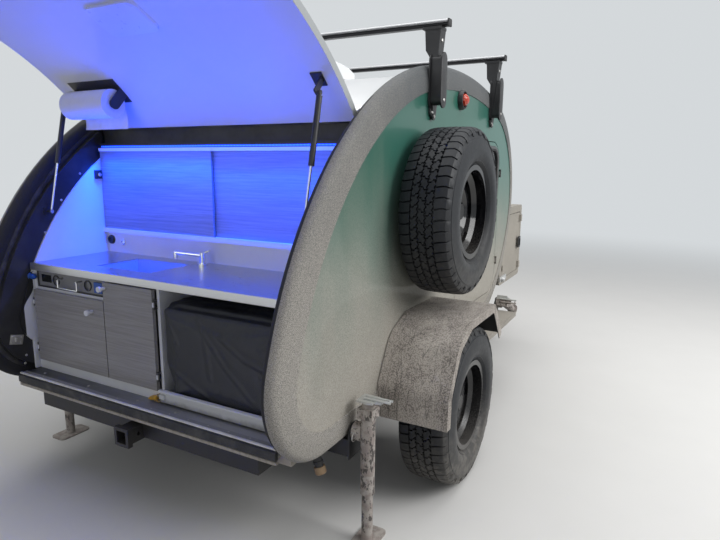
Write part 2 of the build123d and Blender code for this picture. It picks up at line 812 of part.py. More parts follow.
def hatch_fittings():
    """Strut brackets and the paper holder, all on the hatch's inner face."""
    inner = SKIN_DROP + HATCH_THICK
    closed_strut = turned(STRUT_TOP, HATCH_OPEN)
    closed_roll = turned(ROLL_YZ, HATCH_OPEN)
    cutter = slab(outline(inner + 0.05), -RIM_IN, RIM_IN)
    pieces = []
    for side in (-1, 1):
        x = side * (STRUT_X - STRUT_TUBE_R - 8)
        bracket = stem(closed_strut, inner - 8, 24, x - 3, x + 3)
        inboard, outboard = sorted((x - side * 40, x + side * 8))
        pad = stem(to_skin(closed_strut, inner + 5), inner - 8, 60, inboard, outboard)
        ball = rod(STRUT_PIN_R, (x, *closed_strut), (side * (STRUT_X + 6), *closed_strut))
        pieces.append(((bracket + pad) & cutter) + ball)
    holder = rod(ROLL_CORE_R - FIT, (ROLL_X[0] - 14, *closed_roll), (ROLL_X[1] + 14, *closed_roll))
    for x in (ROLL_X[0] - 14, ROLL_X[1] + 10):
        holder += slab(Pos(*closed_roll) * Circle(HOLDER_HALF), x, x + 4)
        holder += stem(closed_roll, inner - 8, 2 * HOLDER_HALF, x, x + 4)
    plate = to_skin(turned(HOLDER_PLATE, HATCH_OPEN), inner + 4)
    back = stem(plate, inner - 8, HOLDER_DEEP, ROLL_X[0] - 14, ROLL_X[1] + 14)
    pieces.append((holder + back) & cutter)
    return [hatch_open(piece) for piece in pieces]


save("hatch_fittings", *hatch_fittings())


def paper_roll():
    roll = rod(ROLL_R, (ROLL_X[0], *ROLL_YZ), (ROLL_X[1], *ROLL_YZ))
    return roll - rod(ROLL_CORE_R, (ROLL_X[0] - 1, *ROLL_YZ), (ROLL_X[1] + 1, *ROLL_YZ))


save("paper_roll", paper_roll())

LIGHT_X = 35.0
LIGHT_ALONG = 22.0
LIGHT_HALF = (125.0, 75.0)


def hatch_light():
    """Rounded lamp let into the hatch's inner face, in the middle."""
    inner = SKIN_DROP + HATCH_THICK
    a = math.atan2(UP[1], UP[0]) + math.radians(LIGHT_ALONG)
    r = OUTLINE[1][1] - inner
    centre = (BACK_CENTRE[0] + r * math.cos(a), BACK_CENTRE[1] + r * math.sin(a))
    plane = Plane(origin=(LIGHT_X, *centre), x_dir=(1, 0, 0), z_dir=(0, -math.cos(a), -math.sin(a)))
    lamp = extrude(plane * RectangleRounded(2 * LIGHT_HALF[0], 2 * LIGHT_HALF[1], 30), amount=14)
    return hatch_open(lamp & slab(outline(inner), -RIM_IN, RIM_IN))


save("hatch_light", hatch_light())


def strut(side):
    """Gas strut from the hatch bracket down to the liner: tube and rod."""
    top = Vector(side * STRUT_X, *STRUT_TOP)
    foot = Vector(side * STRUT_X, *STRUT_FOOT)
    along = (foot - top).normalized()
    tube_end = top + along * STRUT_TUBE
    tube = rod(STRUT_TUBE_R, tuple(top + along * 12), tuple(tube_end))
    tube += rod(9, (side * (STRUT_X - 5), *STRUT_TOP), (side * (STRUT_X + 5), *STRUT_TOP))
    tube += rod(7, tuple(top), tuple(top + along * 20))
    tube -= rod(STRUT_PIN_R + FIT, (side * (STRUT_X - 9), *STRUT_TOP), (side * (STRUT_X + 9), *STRUT_TOP))
    tube -= rod(STRUT_ROD_R + FIT, tuple(top + along * 30), tuple(tube_end + along * 2))
    bar = rod(STRUT_ROD_R, tuple(tube_end - along * 20), tuple(foot - along * 10))
    eye_in = side * (STRUT_X - STRUT_EYE_HALF)
    eye_out = side * (STRUT_X + STRUT_EYE_HALF)
    bar += rod(9, (eye_in, *STRUT_FOOT), (eye_out, *STRUT_FOOT))
    bar += rod(5, tuple(foot - along * 22), tuple(foot))
    return tube, bar


for side_name, side in (("right", 1), ("left", -1)):
    tube, bar = strut(side)
    save(f"strut_tube_{side_name}", tube)
    save(f"strut_rod_{side_name}", bar)


# Galley
def galley_side(area, x0):
    """Piece of the galley's side wall, from x0 out to the rim."""
    low = FLOOR_Z + FLOOR_THICK
    back = BULKHEAD_Y + BOARD
    area &= poly((-BEYOND, low), (back, low), (back, HEADER_Z + 60), (-BEYOND, BEYOND))
    return slab(area, x0, RIM_IN)


LINER = galley_side(outline(LINER_INSET), LINER_IN)
save("galley_liners", LINER, mirrored(LINER))


def hatch_jamb():
    """Flat jamb round the opening, with the strut's lower ball on it."""
    jamb = galley_side(outline(JAMB_INSET) - outline(LINER_INSET), JAMB_IN)
    stud = STRUT_X + STRUT_EYE_HALF + FIT
    jamb += rod(STRUT_PIN_R + 2, (stud, *STRUT_FOOT), (JAMB_IN + 2, *STRUT_FOOT))
    return jamb + rod(20, (JAMB_IN - 4, *STRUT_FOOT), (JAMB_IN + 2, *STRUT_FOOT))


JAMB = hatch_jamb()
save("hatch_jambs", JAMB, mirrored(JAMB))


def header():
    back = HEADER_Y + HEADER_DEPTH
    area = poly(
        (HEADER_Y, LOCKER_TOP), (back, LOCKER_TOP), (back, ROOF_TOP), (HEADER_Y, ROOF_TOP),
    )
    area &= outline(SKIN_DROP + SKIN_THICK)
    sweep = math.hypot(HATCH_LEAD, HATCH_THICK + HINGE_RAISE) + MOVE_GAP
    area -= Pos(HINGE_Y, HINGE_Z) * Circle(sweep)
    bar = slab(area, -LINER_IN, LINER_IN)
    strip_y = BULKHEAD_Y - 14
    bar += block(-LINER_IN + 6, LINER_IN - 6, strip_y, HEADER_Y + 8, HEADER_Z, HEADER_Z + 12)
    return bar


save("hinge_header", header())


def light_strip():
    y = BULKHEAD_Y - 12
    return block(-LINER_IN + 12, LINER_IN - 12, y, y + 14, HEADER_Z - 6, HEADER_Z)


save("light_strip", light_strip())


def bulkhead():
    return block(
        -LINER_IN, LINER_IN, BULKHEAD_Y, BULKHEAD_Y + BOARD, FLOOR_Z + FLOOR_THICK, LOCKER_BASE
    )


save("bulkhead", bulkhead())


def upper_locker():
    """Locker behind the sliding doors: base, top, back and two ends."""
    front = BULKHEAD_Y - 22
    back = BULKHEAD_Y + LOCKER_DEPTH
    x = LINER_IN
    body = block(-x, x, front, back, LOCKER_BASE, LOCKER_BASE + BOARD)
    body += block(-x, x, front, back, LOCKER_TOP - 10, LOCKER_TOP)
    body += block(-x, x, back - BOARD, back, LOCKER_BASE, LOCKER_TOP)
    for side in (-1, 1):
        inner, outer = sorted((side * x, side * (x - BOARD)))
        body += block(inner, outer, BULKHEAD_Y + 22, back, LOCKER_BASE, LOCKER_TOP)
    for y in (front, BULKHEAD_Y - 4, BULKHEAD_Y + 14):
        body += block(-x, x, y, y + 4, LOCKER_BASE + BOARD - 1, LOCKER_BASE + BOARD + 6)
        body += block(-x, x, y, y + 4, LOCKER_TOP - 16, LOCKER_TOP - 9)
    return body


save("upper_locker", upper_locker())

SLIDER_OVERLAP = 14.0


def slider(side):
    """Sliding locker door in its own track; the left one runs in front."""
    y = BULKHEAD_Y - 17 if side < 0 else BULKHEAD_Y + 1
    x0, x1 = sorted((-side * SLIDER_OVERLAP, side * (LINER_IN - 3)))
    low = LOCKER_BASE + BOARD + FIT
    high = LOCKER_TOP - 11
    return block(x0, x1, y, y + 12, low, high)


save("slider_left", slider(-1))
save("slider_right", slider(1))


def galley_cabinet():
    """Carcass under the counter: ends, dividers, shelf and the tray's two rails."""
    low = FLOOR_Z + FLOOR_THICK
    high = COUNTER_TOP - COUNTER_THICK
    back = BULKHEAD_Y
    body = block(-LINER_IN, LINER_IN, CABINET_Y, back, low, low + BOARD)
    for x in (-LINER_IN, DIVIDER_X - BOARD / 2, BAY_X, LINER_IN - BOARD):
        body += block(x, x + BOARD, CABINET_Y, back, low, high)
    left = -LINER_IN
    body += block(left, BAY_X + BOARD, CABINET_Y - 12, CABINET_Y + 4, SILL_TOP, KICK_TOP)
    body += block(left, DIVIDER_X, CABINET_Y, back, PANEL_SHELF, PANEL_SHELF + BOARD)
    body += block(left, BAY_X + BOARD, back - BOARD, back, low, high)
    for x in TRAY_RAILS:
        body += block(x - 9, x + 9, CABINET_Y + 4, back - 20, low + BOARD - 1, low + BOARD + TRAY_RAIL)
    x, y, wide, deep, drop = SINK
    body -= block(
        x - wide / 2 - 6, x + wide / 2 + 6, y - deep / 2 - 6, y + deep / 2 + 6,
        COUNTER_TOP - drop - 8, high + 1
    )
    for piece in GALLEY_LUGS:
        body += piece
    return body


TRAY_X = (BAY_X + BOARD + 8, LINER_IN - BOARD - 14)
TRAY_RAILS = (TRAY_X[0] + 60, TRAY_X[1] - 60)
TRAY_BASE = FLOOR_Z + FLOOR_THICK + BOARD + TRAY_RAIL + FIT
TRAY_LIP = 545.0
GALLEY_DOOR_Y = CABINET_Y - MOVE_GAP - DOOR_BOARD
GALLEY_AXIS_Y = GALLEY_DOOR_Y + 2.0
SHELF_LINE = PANEL_SHELF + BOARD / 2 - 3
COUNTER_LINE = COUNTER_TOP - COUNTER_THICK - 6
GALLEY_DOORS = (
    # name, hinge-edge x, free-edge x, base z, top z, knob from free edge, knob from top
    ("left", -LINER_IN + 14, DIVIDER_X - MOVE_GAP / 2, KICK_TOP + 5, SHELF_LINE, 71.0, 53.0),
    ("middle", BAY_X - 6, DIVIDER_X + MOVE_GAP / 2, KICK_TOP + 5, COUNTER_LINE, 15.0, 24.0),
)
GALLEY_LUGS = []
for name, hinge_x, free_x, base, top, knob_in, knob_down in GALLEY_DOORS:
    outward = 1 if hinge_x > free_x else -1
    axis_x = hinge_x + outward * 5.5
    parts = upright_hinge(
        axis_x, GALLEY_AXIS_Y, (base + 60, top - 60), (0.0, CABINET_Y - GALLEY_AXIS_Y + 2),
        (-outward * 9.0, 4.0), 40.0
    )
    GALLEY_LUGS += parts[0]
    x0, x1 = sorted((hinge_x, free_x))
    leaf = block(x0, x1, GALLEY_DOOR_Y, GALLEY_DOOR_Y + DOOR_BOARD, base, top)
    knob_x = free_x + outward * knob_in
    knob_z = top - knob_down
    leaf += rod(7, (knob_x, GALLEY_DOOR_Y + 2, knob_z), (knob_x, GALLEY_DOOR_Y - 26, knob_z))
    leaf += rod(12, (knob_x, GALLEY_DOOR_Y - 24, knob_z), (knob_x, GALLEY_DOOR_Y - 34, knob_z))
    for z in (base + 60, top - 60):
        leaf -= Pos(axis_x, GALLEY_AXIS_Y, z) * Cylinder(KNUCKLE_R + 1.5, 44)
    for piece in parts[1]:
        leaf += piece
    save(f"galley_door_{name}", leaf)

save("galley_cabinet", galley_cabinet())


def counter():
    """Steel worktop with a front nosing, a let-in sink bowl and a low upstand."""
    x, y, wide, deep, drop = SINK
    top = block(-LINER_IN, LINER_IN, COUNTER_Y, BULKHEAD_Y, COUNTER_TOP - COUNTER_THICK, COUNTER_TOP)
    bowl = Pos(x, y, COUNTER_TOP - drop / 2) * Box(wide, deep, drop)
    shell = Pos(x, y, COUNTER_TOP - drop / 2 - 2) * Box(wide + 6, deep + 6, drop)
    return (top + shell) - bowl


save("counter_sink", counter())


def tap():
    """Folding tap: base, post and a spout that turns down over the bowl."""
    x = SINK[0] + SINK[2] / 2 + 70
    y = BULKHEAD_Y - 70
    body = rod(24, (x, y, COUNTER_TOP), (x, y, COUNTER_TOP + 12))
    body += rod(13, (x, y, COUNTER_TOP), (x, y, COUNTER_TOP + 60))
    body += rod(9, (x, y, COUNTER_TOP + 48), (x - 105, y - 60, COUNTER_TOP + 62))
    body += rod(9, (x - 105, y - 60, COUNTER_TOP + 66), (x - 105, y - 60, COUNTER_TOP + 34))
    body += rod(5, (x, y, COUNTER_TOP + 54), (x + 34, y + 8, COUNTER_TOP + 70))
    return body


save("tap", tap())


PANEL_VENTS = (-582.0, -363.0)
PANEL_VENT_R = 24.0
PANEL_HOOP = (-538.0, -406.0)
PANEL_BLOCK = (-313.0, -262.0)
PANEL_DISPLAY = (-688.0, -618.0)


def control_panel():
    """Panel with a raised edge, two round vents, a guard hoop, a display and switches."""
    low = PANEL_SHELF + BOARD
    high = COUNTER_TOP - COUNTER_THICK
    x0 = -LINER_IN + BOARD
    x1 = DIVIDER_X - BOARD / 2
    y = CABINET_Y + 6
    panel = block(x0, x1, y - 4, y + 10, low, high)
    panel -= block(x0 + 7, x1 - 7, y - 5, y, low + 7, high - 7)
    mid = (low + high) / 2
    for x in PANEL_VENTS:
        panel += rod(PANEL_VENT_R, (x, y + 2, mid), (x, y - 4, mid))
        panel -= rod(PANEL_VENT_R - 4, (x, y - 5, mid), (x, y + 6, mid))
    for x in PANEL_HOOP:
        panel += rod(4, (x, y + 2, mid + 14), (x, y - 30, mid + 14))
        panel += rod(4, (x, y - 26, mid + 16), (x, y - 26, mid - 28))
    panel += rod(4, (PANEL_HOOP[0] - 4, y - 26, mid - 26), (PANEL_HOOP[1] + 4, y - 26, mid - 26))
    panel += block(*PANEL_BLOCK, y - 9, y + 2, mid - 24, mid + 22)
    panel += block(*PANEL_DISPLAY, y - 3, y + 2, mid - 14, mid + 20)
    return panel


save("control_panel", control_panel())


def slide_tray():
    """Slide-out tray: bottom, raised front lip with pull slot, and low sides."""
    x0, x1 = TRAY_X
    front = CABINET_Y - 32
    back = BULKHEAD_Y - 12
    tray = block(x0, x1, front, back, TRAY_BASE, TRAY_BASE + 4)
    tray += block(x0, x1, front, front + 4, TRAY_BASE, TRAY_LIP)
    for x in (x0, x1 - 4):
        tray += block(x, x + 4, front, back, TRAY_BASE, TRAY_BASE + 34)
    tray += block(x0 + 4, x0 + 30, front - 10, front, TRAY_LIP - 34, TRAY_LIP - 16)
    return tray


save("slide_tray", slide_tray())


def fridge():
    x0, x1 = TRAY_X
    body = block(
        x0 + 4 + FIT, x1 - 4 - FIT, CABINET_Y - 27, BULKHEAD_Y - 40, TRAY_BASE + 4 + FIT, 915
    )
    return fillet(body.edges().filter_by(Axis.Z), 24)


save("fridge", fridge())


# Jacks
def jack(y, pivot, head, leg, wide, long, lean):
    """Swing jack about its pivot: collar, tube, leg, foot and pull bars on a plate."""
    inner = JACK_PLATE_X + JACK_PLATE
    offset = inner - JACK_X
    body = rod(28, (0, 0, head - 60), (0, 0, -min(leg * 0.55, 250)))
    body += rod(36, (offset + FIT, 0, 0), (-20, 0, 0))
    body += rod(22, (0, 0, 0), (0, 0, -leg + 6))
    body += Pos(0, 0, -leg) * extrude(RectangleRounded(wide, long, 24), amount=6)
    body += block(-32, 32, -32, 32, head - 84, head - 44)
    body += rod(24, (0, 0, head - 50), (0, 0, head - 12))
    body += block(-34, 34, -34, 34, head - 18, head - 10)
    body += block(-34, 62, -17, 17, head - 18, head - 10)
    for bar_y in (-10, 10):
        body += rod(5, (-14, bar_y, head - 6), (96, bar_y, head - 6))
    body += rod(3.5, (89, -10, head - 6), (89, 10, head - 6))
    body -= rod(JACK_PIN_R + FIT, (offset - 1, 0, 0), (-21, 0, 0))
    return Pos(JACK_X, y, pivot) * Rot(lean, 0, 0) * body


for end, *sizes in JACKS:
    solid = jack(*sizes)
    save(f"jack_{end}_right", solid)
    save(f"jack_{end}_left", mirrored(solid))


def tongue_jack():
    """Fixed outer tube with its flange and gear head."""
    y = TONGUE_JACK_Y
    tube = rod(29, (0, y, FRAME_BASE - 60), (0, y, 760))
    tube += block(-90, 90, y - 50, y + 50, FRAME_TOP, FRAME_TOP + 10)
    tube += block(-36, 36, y - 36, y + 36, 740, 790)
    tube += rod(8, (30, y, 770), (150, y, 770))
    tube += rod(11, (142, y, 770), (142, y, 830))
    tube -= rod(24 + FIT, (0, y, FRAME_BASE - 61), (0, y, 730))
    return tube


def tongue_jack_leg():
    y = TONGUE_JACK_Y
    leg = rod(24, (0, y, 4), (0, y, 520))
    return leg + Pos(0, y, 0) * extrude(RectangleRounded(150, 150, 30), amount=6)


save("tongue_jack", tongue_jack(), tongue_jack_leg())


# Tongue box
BOX_WALL = 15.0
BOX_CORNER = 30.0
BOX_DOOR = (BOX_REAR + 62, BOX_FRONT - 40, BOX_BASE + 45, BOX_TOP - 60)
BOX_AXIS = (BOX_X + 7.0, BOX_DOOR[0] - 6.0)
box_lugs, box_barrels = upright_hinge(
    *BOX_AXIS, (BOX_DOOR[2] + 80, BOX_DOOR[3] - 80), (-10.0, -8.0), (-10.0, 12.0)
)


def box_door_area(grow):
    y0, y1, z0, z1 = BOX_DOOR
    return round_rect(y0 - grow, y1 + grow, z0 - grow, z1 + grow, BOX_CORNER)


def tongue_box():
    y_mid = (BOX_REAR + BOX_FRONT) / 2
    z_mid = (BOX_BASE + BOX_TOP) / 2
    size = (2 * BOX_X, BOX_FRONT - BOX_REAR, BOX_TOP - BOX_BASE)
    shell = Pos(0, y_mid, z_mid) * Box(*size)
    shell = fillet(shell.edges().filter_by(Axis.X), BOX_CORNER)
    shell -= Pos(0, y_mid, z_mid) * Box(*(value - 2 * BOX_WALL for value in size))
    shell -= slab(box_door_area(MOVE_GAP), -BOX_X - 1, BOX_X + 1)
    for piece in box_lugs:
        shell += piece
        shell += mirrored(piece)
    return shell


def box_door():
    y0, y1, z0, z1 = BOX_DOOR
    door = slab(box_door_area(0), BOX_X - BOX_WALL, BOX_X)
    for piece in box_barrels:
        door += piece
    for z in (z0 + 45, z1 - 45):
        door += block(BOX_X - 1, BOX_X + 18, y1 - 46, y1 - 8, z - 26, z + 26)
    return door


save("tongue_box", tongue_box())
BOX_DOOR_SOLID = box_door()
save("box_door_right", BOX_DOOR_SOLID)
save("box_door_left", mirrored(BOX_DOOR_SOLID))


# Roof rack, vent and lamps
BAR_Y = (85.0, 1030.0)
BAR_Z = 2060.0
BAR_HALF = 915.0
BAR_W = 42.0
BAR_H = 30.0


def roof_bar(y):
    section = Pos(y, BAR_Z) * RectangleRounded(BAR_W, BAR_H, 9)
    section -= Pos(y - BAR_W / 2 + 5, BAR_Z) * Rectangle(11, 9)
    return slab(section, -BAR_HALF, BAR_HALF)


save("roof_bars", *[roof_bar(y) for y in BAR_Y])

TOWER_FOOT = (1666.0, 1686.0)
TOWER_WALL = 5.0
TOWER_DEEP = 46.0
TOWER_LEAN = 44.0


def rack_tower(y, foot_z):
    """Leaning channel that stands on the side wall and carries one bar end."""
    face = RIM_OUT + FIT
    top = BAR_Z - BAR_H / 2
    foot_top = foot_z + 90
    inner = (face - 26, ROOF_TOP + 20)
    area = poly(
        (face, foot_z - 22), (face + 10, foot_z - 22), (face + 16, foot_top),
        (face + TOWER_LEAN, top), (face + TOWER_LEAN - TOWER_DEEP - 30, top), inner,
        (face, ROOF_TOP - 20),
    )
    pocket = poly(
        (face - 1, foot_z - 30), (face + 5, foot_z - 30), (face + 11, foot_top),
        (face + TOWER_LEAN - TOWER_WALL, top - 24), (inner[0] - 80, top - 24),
        (inner[0] - 80, ROOF_TOP - 40), (face - 1, ROOF_TOP - 40),
    )
    half = 30.0
    leg = extrude(Plane.XZ * area, amount=half, both=True)
    leg -= extrude(Plane.XZ * pocket, amount=half - TOWER_WALL, both=True)
    side_view = poly(
        (-half, top - foot_z), (half, top - foot_z), (half, 90), (17, 0), (-17, 0), (-half, 90)
    ) + Circle(17)
    leg &= slab(Pos(0, foot_z) * side_view, face - 200, face + 200)
    leg -= slab(Pos(0, foot_z + 165) * SlotOverall(120, 16, rotation=90), face, face + 200)
    leg += slab(Pos(0, foot_z) * Circle(14), WALL_OUT, face + 10)
    leg += block(face + TOWER_LEAN - 86, face + TOWER_LEAN, -34, 34, top - 12, top)
    return Pos(0, y, 0) * leg


towers = []
for y, foot_z in zip(BAR_Y, TOWER_FOOT):
    tower = rack_tower(y, foot_z)
    towers += [tower, mirrored(tower)]
save("rack_towers", *towers)

VENT_BASE = ROOF_TOP - SKIN_DROP + 4


def vent_frame():
    """Low square frame let into the roof, with a closing plate."""
    low = VENT_BASE - 30
    frame = block(
        -VENT_HALF, VENT_HALF, VENT_Y - VENT_HALF, VENT_Y + VENT_HALF, low - 10, VENT_BASE + 12
    )
    frame -= block(
        -VENT_HOLE + 10, VENT_HOLE - 10, VENT_Y - VENT_HOLE + 10, VENT_Y + VENT_HOLE - 10, low + 14,
        VENT_BASE + 13
    )
    frame -= slab(outline(SKIN_DROP - 0.05), -RIM_IN, RIM_IN) - vent_hole()
    front = VENT_Y + VENT_HALF + 8
    for x in (-90, 90):
        frame += rod(KNUCKLE_R, (x - 30, front, VENT_BASE + 16), (x - 12, front, VENT_BASE + 16))
        frame += rod(KNUCKLE_R, (x + 12, front, VENT_BASE + 16), (x + 30, front, VENT_BASE + 16))
        frame += rod(PIN_R, (x - 30, front, VENT_BASE + 16), (x + 30, front, VENT_BASE + 16))
        for x0 in (x - 30, x + 12):
            frame += block(x0, x0 + 18, front - 16, front, VENT_BASE, VENT_BASE + 14)
    return frame


def vent_lid():
    """Domed lid, hinged at its front edge."""
    low = VENT_BASE + 12 + MOVE_GAP
    half = VENT_HALF
    dome = Pos(0, VENT_Y, low) * extrude(RectangleRounded(2 * half, 2 * half, 40), amount=120)
    ball = Pos(0, VENT_Y, low - 300) * Sphere(420)
    dome &= ball
    hollow = Pos(0, VENT_Y, low - 1) * extrude(
        RectangleRounded(2 * half - 8, 2 * half - 8, 36), amount=120
    )
    hollow &= Pos(0, VENT_Y, low - 300) * Sphere(416)
    dome -= hollow
    front = VENT_Y + VENT_HALF + 8
    for x in (-90, 90):
        barrel = rod(KNUCKLE_R, (x - 11, front, VENT_BASE + 16), (x + 11, front, VENT_BASE + 16))
        barrel += block(x - 11, x + 11, front - 12, front, VENT_BASE + 17, VENT_BASE + 21)
        barrel -= rod(PIN_R + FIT, (x - 12, front, VENT_BASE + 16), (x + 12, front, VENT_BASE + 16))
        dome += barrel
    return dome


save("vent_frame", vent_frame())
save("vent_lid", vent_lid())

LAMP_Y = 486.0
LAMP_Z = 1777.0


def marker_lamp():
    """Round lamp: a base ring and a domed lens."""
    section = poly((0, 0), (0, 38), (15, 36), (18, 31), (30, 28), (41, 17), (46, 0))
    return Pos(WALL_OUT, LAMP_Y, LAMP_Z) * revolve(section, axis=Axis.X)


LAMP = marker_lamp()
save("marker_lamps", LAMP, mirrored(LAMP))
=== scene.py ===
# %% [markdown]
# # A teardrop camping trailer, dressed for its portrait
# The walls, doors, hatch, galley and wheels come ready from the CAD frame.  This lesson
# gives them their skins and adds what a maker would call the trims: tyre treads, seals,
# rivets, a fridge cover, a paper roll.  We set the camera first, then write two small
# tool kits, one for shader maths and one for meshes, and go round the trailer with them.

# %% Load the frame
import math
import random

import bmesh
import bpy
from mathutils import Matrix, Vector


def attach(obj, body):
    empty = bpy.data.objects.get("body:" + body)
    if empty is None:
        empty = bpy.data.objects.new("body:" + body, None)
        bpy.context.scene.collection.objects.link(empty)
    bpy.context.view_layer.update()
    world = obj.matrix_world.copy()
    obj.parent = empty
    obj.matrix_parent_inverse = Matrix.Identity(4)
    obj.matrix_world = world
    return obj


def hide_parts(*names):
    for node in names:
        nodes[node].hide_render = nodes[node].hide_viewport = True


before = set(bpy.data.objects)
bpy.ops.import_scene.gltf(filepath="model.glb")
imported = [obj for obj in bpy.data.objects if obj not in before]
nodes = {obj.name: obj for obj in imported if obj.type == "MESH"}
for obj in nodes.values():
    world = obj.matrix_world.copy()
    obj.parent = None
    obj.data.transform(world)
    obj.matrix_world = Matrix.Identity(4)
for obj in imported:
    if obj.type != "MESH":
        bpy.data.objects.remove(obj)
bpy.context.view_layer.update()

# %% [markdown]
# ## The camera
# The picture was taken from behind the kerb-side corner, at about eye height, with a
# wide phone lens.  A camera could be aimed with a Track To constraint, but its place,
# turn and lens are known from the solved picture, so we write the matrix directly: its
# columns are the camera's right, its up and the reverse of its line of sight.

# %% Camera
LENS_MM = 28.34
CAMERA_AT = Vector((1.835, -2.401, 1.456))
YAW = math.radians(28.55)
PITCH = math.radians(10.68)
ROLL = math.radians(0.48)

sight = Vector((-math.sin(YAW) * math.cos(PITCH), math.cos(YAW) * math.cos(PITCH), -math.sin(PITCH)))
level = Vector((math.cos(YAW), math.sin(YAW), 0))
upward = level.cross(sight)
right = level * math.cos(ROLL) + upward * math.sin(ROLL)
top = upward * math.cos(ROLL) - level * math.sin(ROLL)
lens = bpy.data.cameras.new("photo_lens")
lens.lens = LENS_MM
lens.sensor_width = 36
lens.clip_end = 200
camera = bpy.data.objects.new("photo_camera", lens)
bpy.context.collection.objects.link(camera)
camera.matrix_world = Matrix((
    (right.x, top.x, -sight.x, CAMERA_AT.x),
    (right.y, top.y, -sight.y, CAMERA_AT.y),
    (right.z, top.z, -sight.z, CAMERA_AT.z),
    (0, 0, 0, 1),
))
bpy.context.scene.camera = camera
print("camera at", tuple(round(v, 3) for v in CAMERA_AT), "lens", LENS_MM)

# %% [markdown]
# ## Shader maths as Python
# A material is a graph of nodes, and a graph of Math nodes soon gets hard to read.  So
# one small class wraps an output socket: adding, multiplying or subtracting two wires
# adds the Math node for us.  Everything that isn't a sum comes from one method, `node`,
# which sets a node's settings first and its sockets after.

# %% The Wire class
class Wire:
    """An output socket in a material, for use in Python sums."""

    def __init__(self, tree, socket=None):
        self.tree = tree
        self.socket = socket

    def node(self, kind, settings=None, sockets=None, out=0):
        """Add a node, set it up, fill its sockets, and wrap one of its outputs."""
        made = self.tree.nodes.new("ShaderNode" + kind)
        for name, value in (settings or {}).items():
            setattr(made, name, value)
        for name, value in (sockets or {}).items():
            if isinstance(value, Wire):
                self.tree.links.new(value.socket, made.inputs[name])
            else:
                made.inputs[name].default_value = value
        return Wire(self.tree, made.outputs[out])

    def sum(self, operation, a, b=0.0):
        """A Math node on wires or numbers."""
        return self.node("Math", {"operation": operation}, {0: a, 1: b})

    def vector(self, operation, other=(0, 0, 0), out=0):
        """An operation of Vector Math; its output 1 is the one that holds a number."""
        return self.node("VectorMath", {"operation": operation}, {0: self, 1: other}, out)

    def __add__(self, other):
        return self.sum("ADD", self, other)

    def __sub__(self, other):
        return self.sum("SUBTRACT", self, other)

    def __rsub__(self, other):
        return self.sum("SUBTRACT", other, self)

    def __mul__(self, other):
        return self.sum("MULTIPLY", self, other)

    __radd__ = __add__
    __rmul__ = __mul__

    def __abs__(self):
        return self.sum("ABSOLUTE", self)

    def ramp(self, low, high, to_low=0.0, to_high=1.0):
        """Smooth step of this value from low to high."""
        sockets = {"Value": self, "From Min": low, "From Max": high, "To Min": to_low, "To Max": to_high}
        return self.node("MapRange", {"interpolation_type": "SMOOTHSTEP"}, sockets)

    def past(self, line, soft=0.0005):
        """0 below a line and 1 above it, with a narrow soft edge."""
        return self.ramp(line - soft, line + soft)

    def under(self, line, soft=0.0005):
        """1 below a line and 0 above it."""
        return 1 - self.past(line, soft)

    def between(self, low, high, soft=0.0005):
        """1 between two lines, 0 outside them."""
        return self.past(low, soft) * self.under(high, soft)

    def noise(self, scale, detail=3.0, roughness=0.55, stretch=(1, 1, 1)):
        """Cloudy noise over this position, stretched along its axes."""
        moved = self.node("Mapping", {}, {"Vector": self, "Scale": stretch})
        sockets = {"Vector": moved, "Scale": scale, "Detail": detail, "Roughness": roughness}
        return self.node("TexNoise", {}, sockets)

    def blend(self, first, second):
        """Colour first where this mask is 0, and second where it is 1."""
        sockets = {0: self, 6: as_colour(first), 7: as_colour(second)}
        return self.node("Mix", {"data_type": "RGBA"}, sockets, out=2)

    def clouds(self, scale, detail, low, high, first, second):
        """Two colours in clouds: first where the noise is under low, second where it is over high."""
        return self.noise(scale, detail).ramp(low, high).blend(first, second)

    def axis(self, index):
        """X, Y or Z of this vector."""
        return self.node("SeparateXYZ", {}, {0: self}, out=index)


def as_colour(value):
    """A colour wire as it is, or an RGB triple with its alpha added."""
    return value if isinstance(value, Wire) else (*value, 1.0)


# %% [markdown]
# Every finish starts the same way: a new material, its Principled shader, and the
# position on the piece.  All pieces keep the trailer's own axes, so the Object
# coordinate is a place on the trailer in metres: z = 0.5 is half a metre above ground.
# A colour or number that is the same everywhere is set on the shader itself.

# %% A finish and its helpers
def finish(name, colour=(0.5, 0.5, 0.5), roughness=0.5, metallic=0.0, **constants):
    """A new material: returns it, its shader node and the position wire."""
    material = bpy.data.materials.new(name)
    material.use_nodes = True
    shader = material.node_tree.nodes["Principled BSDF"]
    put(shader, "Base Color", as_colour(colour))
    put(shader, "Roughness", roughness)
    put(shader, "Metallic", metallic)
    for socket, value in constants.items():
        shader.inputs[socket.replace("_", " ")].default_value = value
    place = Wire(material.node_tree).node("TexCoord", out=3)
    return material, shader, place


def put(shader, socket, value):
    """Link a wire to one of the shader's sockets, or set it to a constant."""
    if isinstance(value, Wire):
        value.tree.links.new(value.socket, shader.inputs[socket])
    else:
        shader.inputs[socket].default_value = value


def bump(shader, height, strength=0.3, distance=0.002):
    """Feed a height wire to the shader's normal through a Bump node."""
    sockets = {"Strength": strength, "Distance": distance, "Height": height}
    put(shader, "Normal", height.node("Bump", {}, sockets))


def mottle(shader, place, scale, spread, base, detail=3.0):
    """Let the roughness wander a little over the surface, so that its gloss isn't even."""
    put(shader, "Roughness", place.noise(scale, detail) * spread + base)


def wear(material, *names):
    """Give CAD nodes or pieces a material."""
    for name in names:
        thing = nodes[name] if isinstance(name, str) else name
        thing.data.materials.clear()
        thing.data.materials.append(material)
    print(material.name, "on", len(names), "objects")


# %% [markdown]
# ## Meshes from short sentences
# The trims are many small things: rivets, strips, plates, rings.  Blender's own
# primitives would give bare cubes and cylinders, so a few helpers write into a bmesh
# instead.  The first two are a box with eased edges and a turned profile, as from a
# lathe.  Each marks its faces with a coat number, so that one mesh can wear several
# materials.

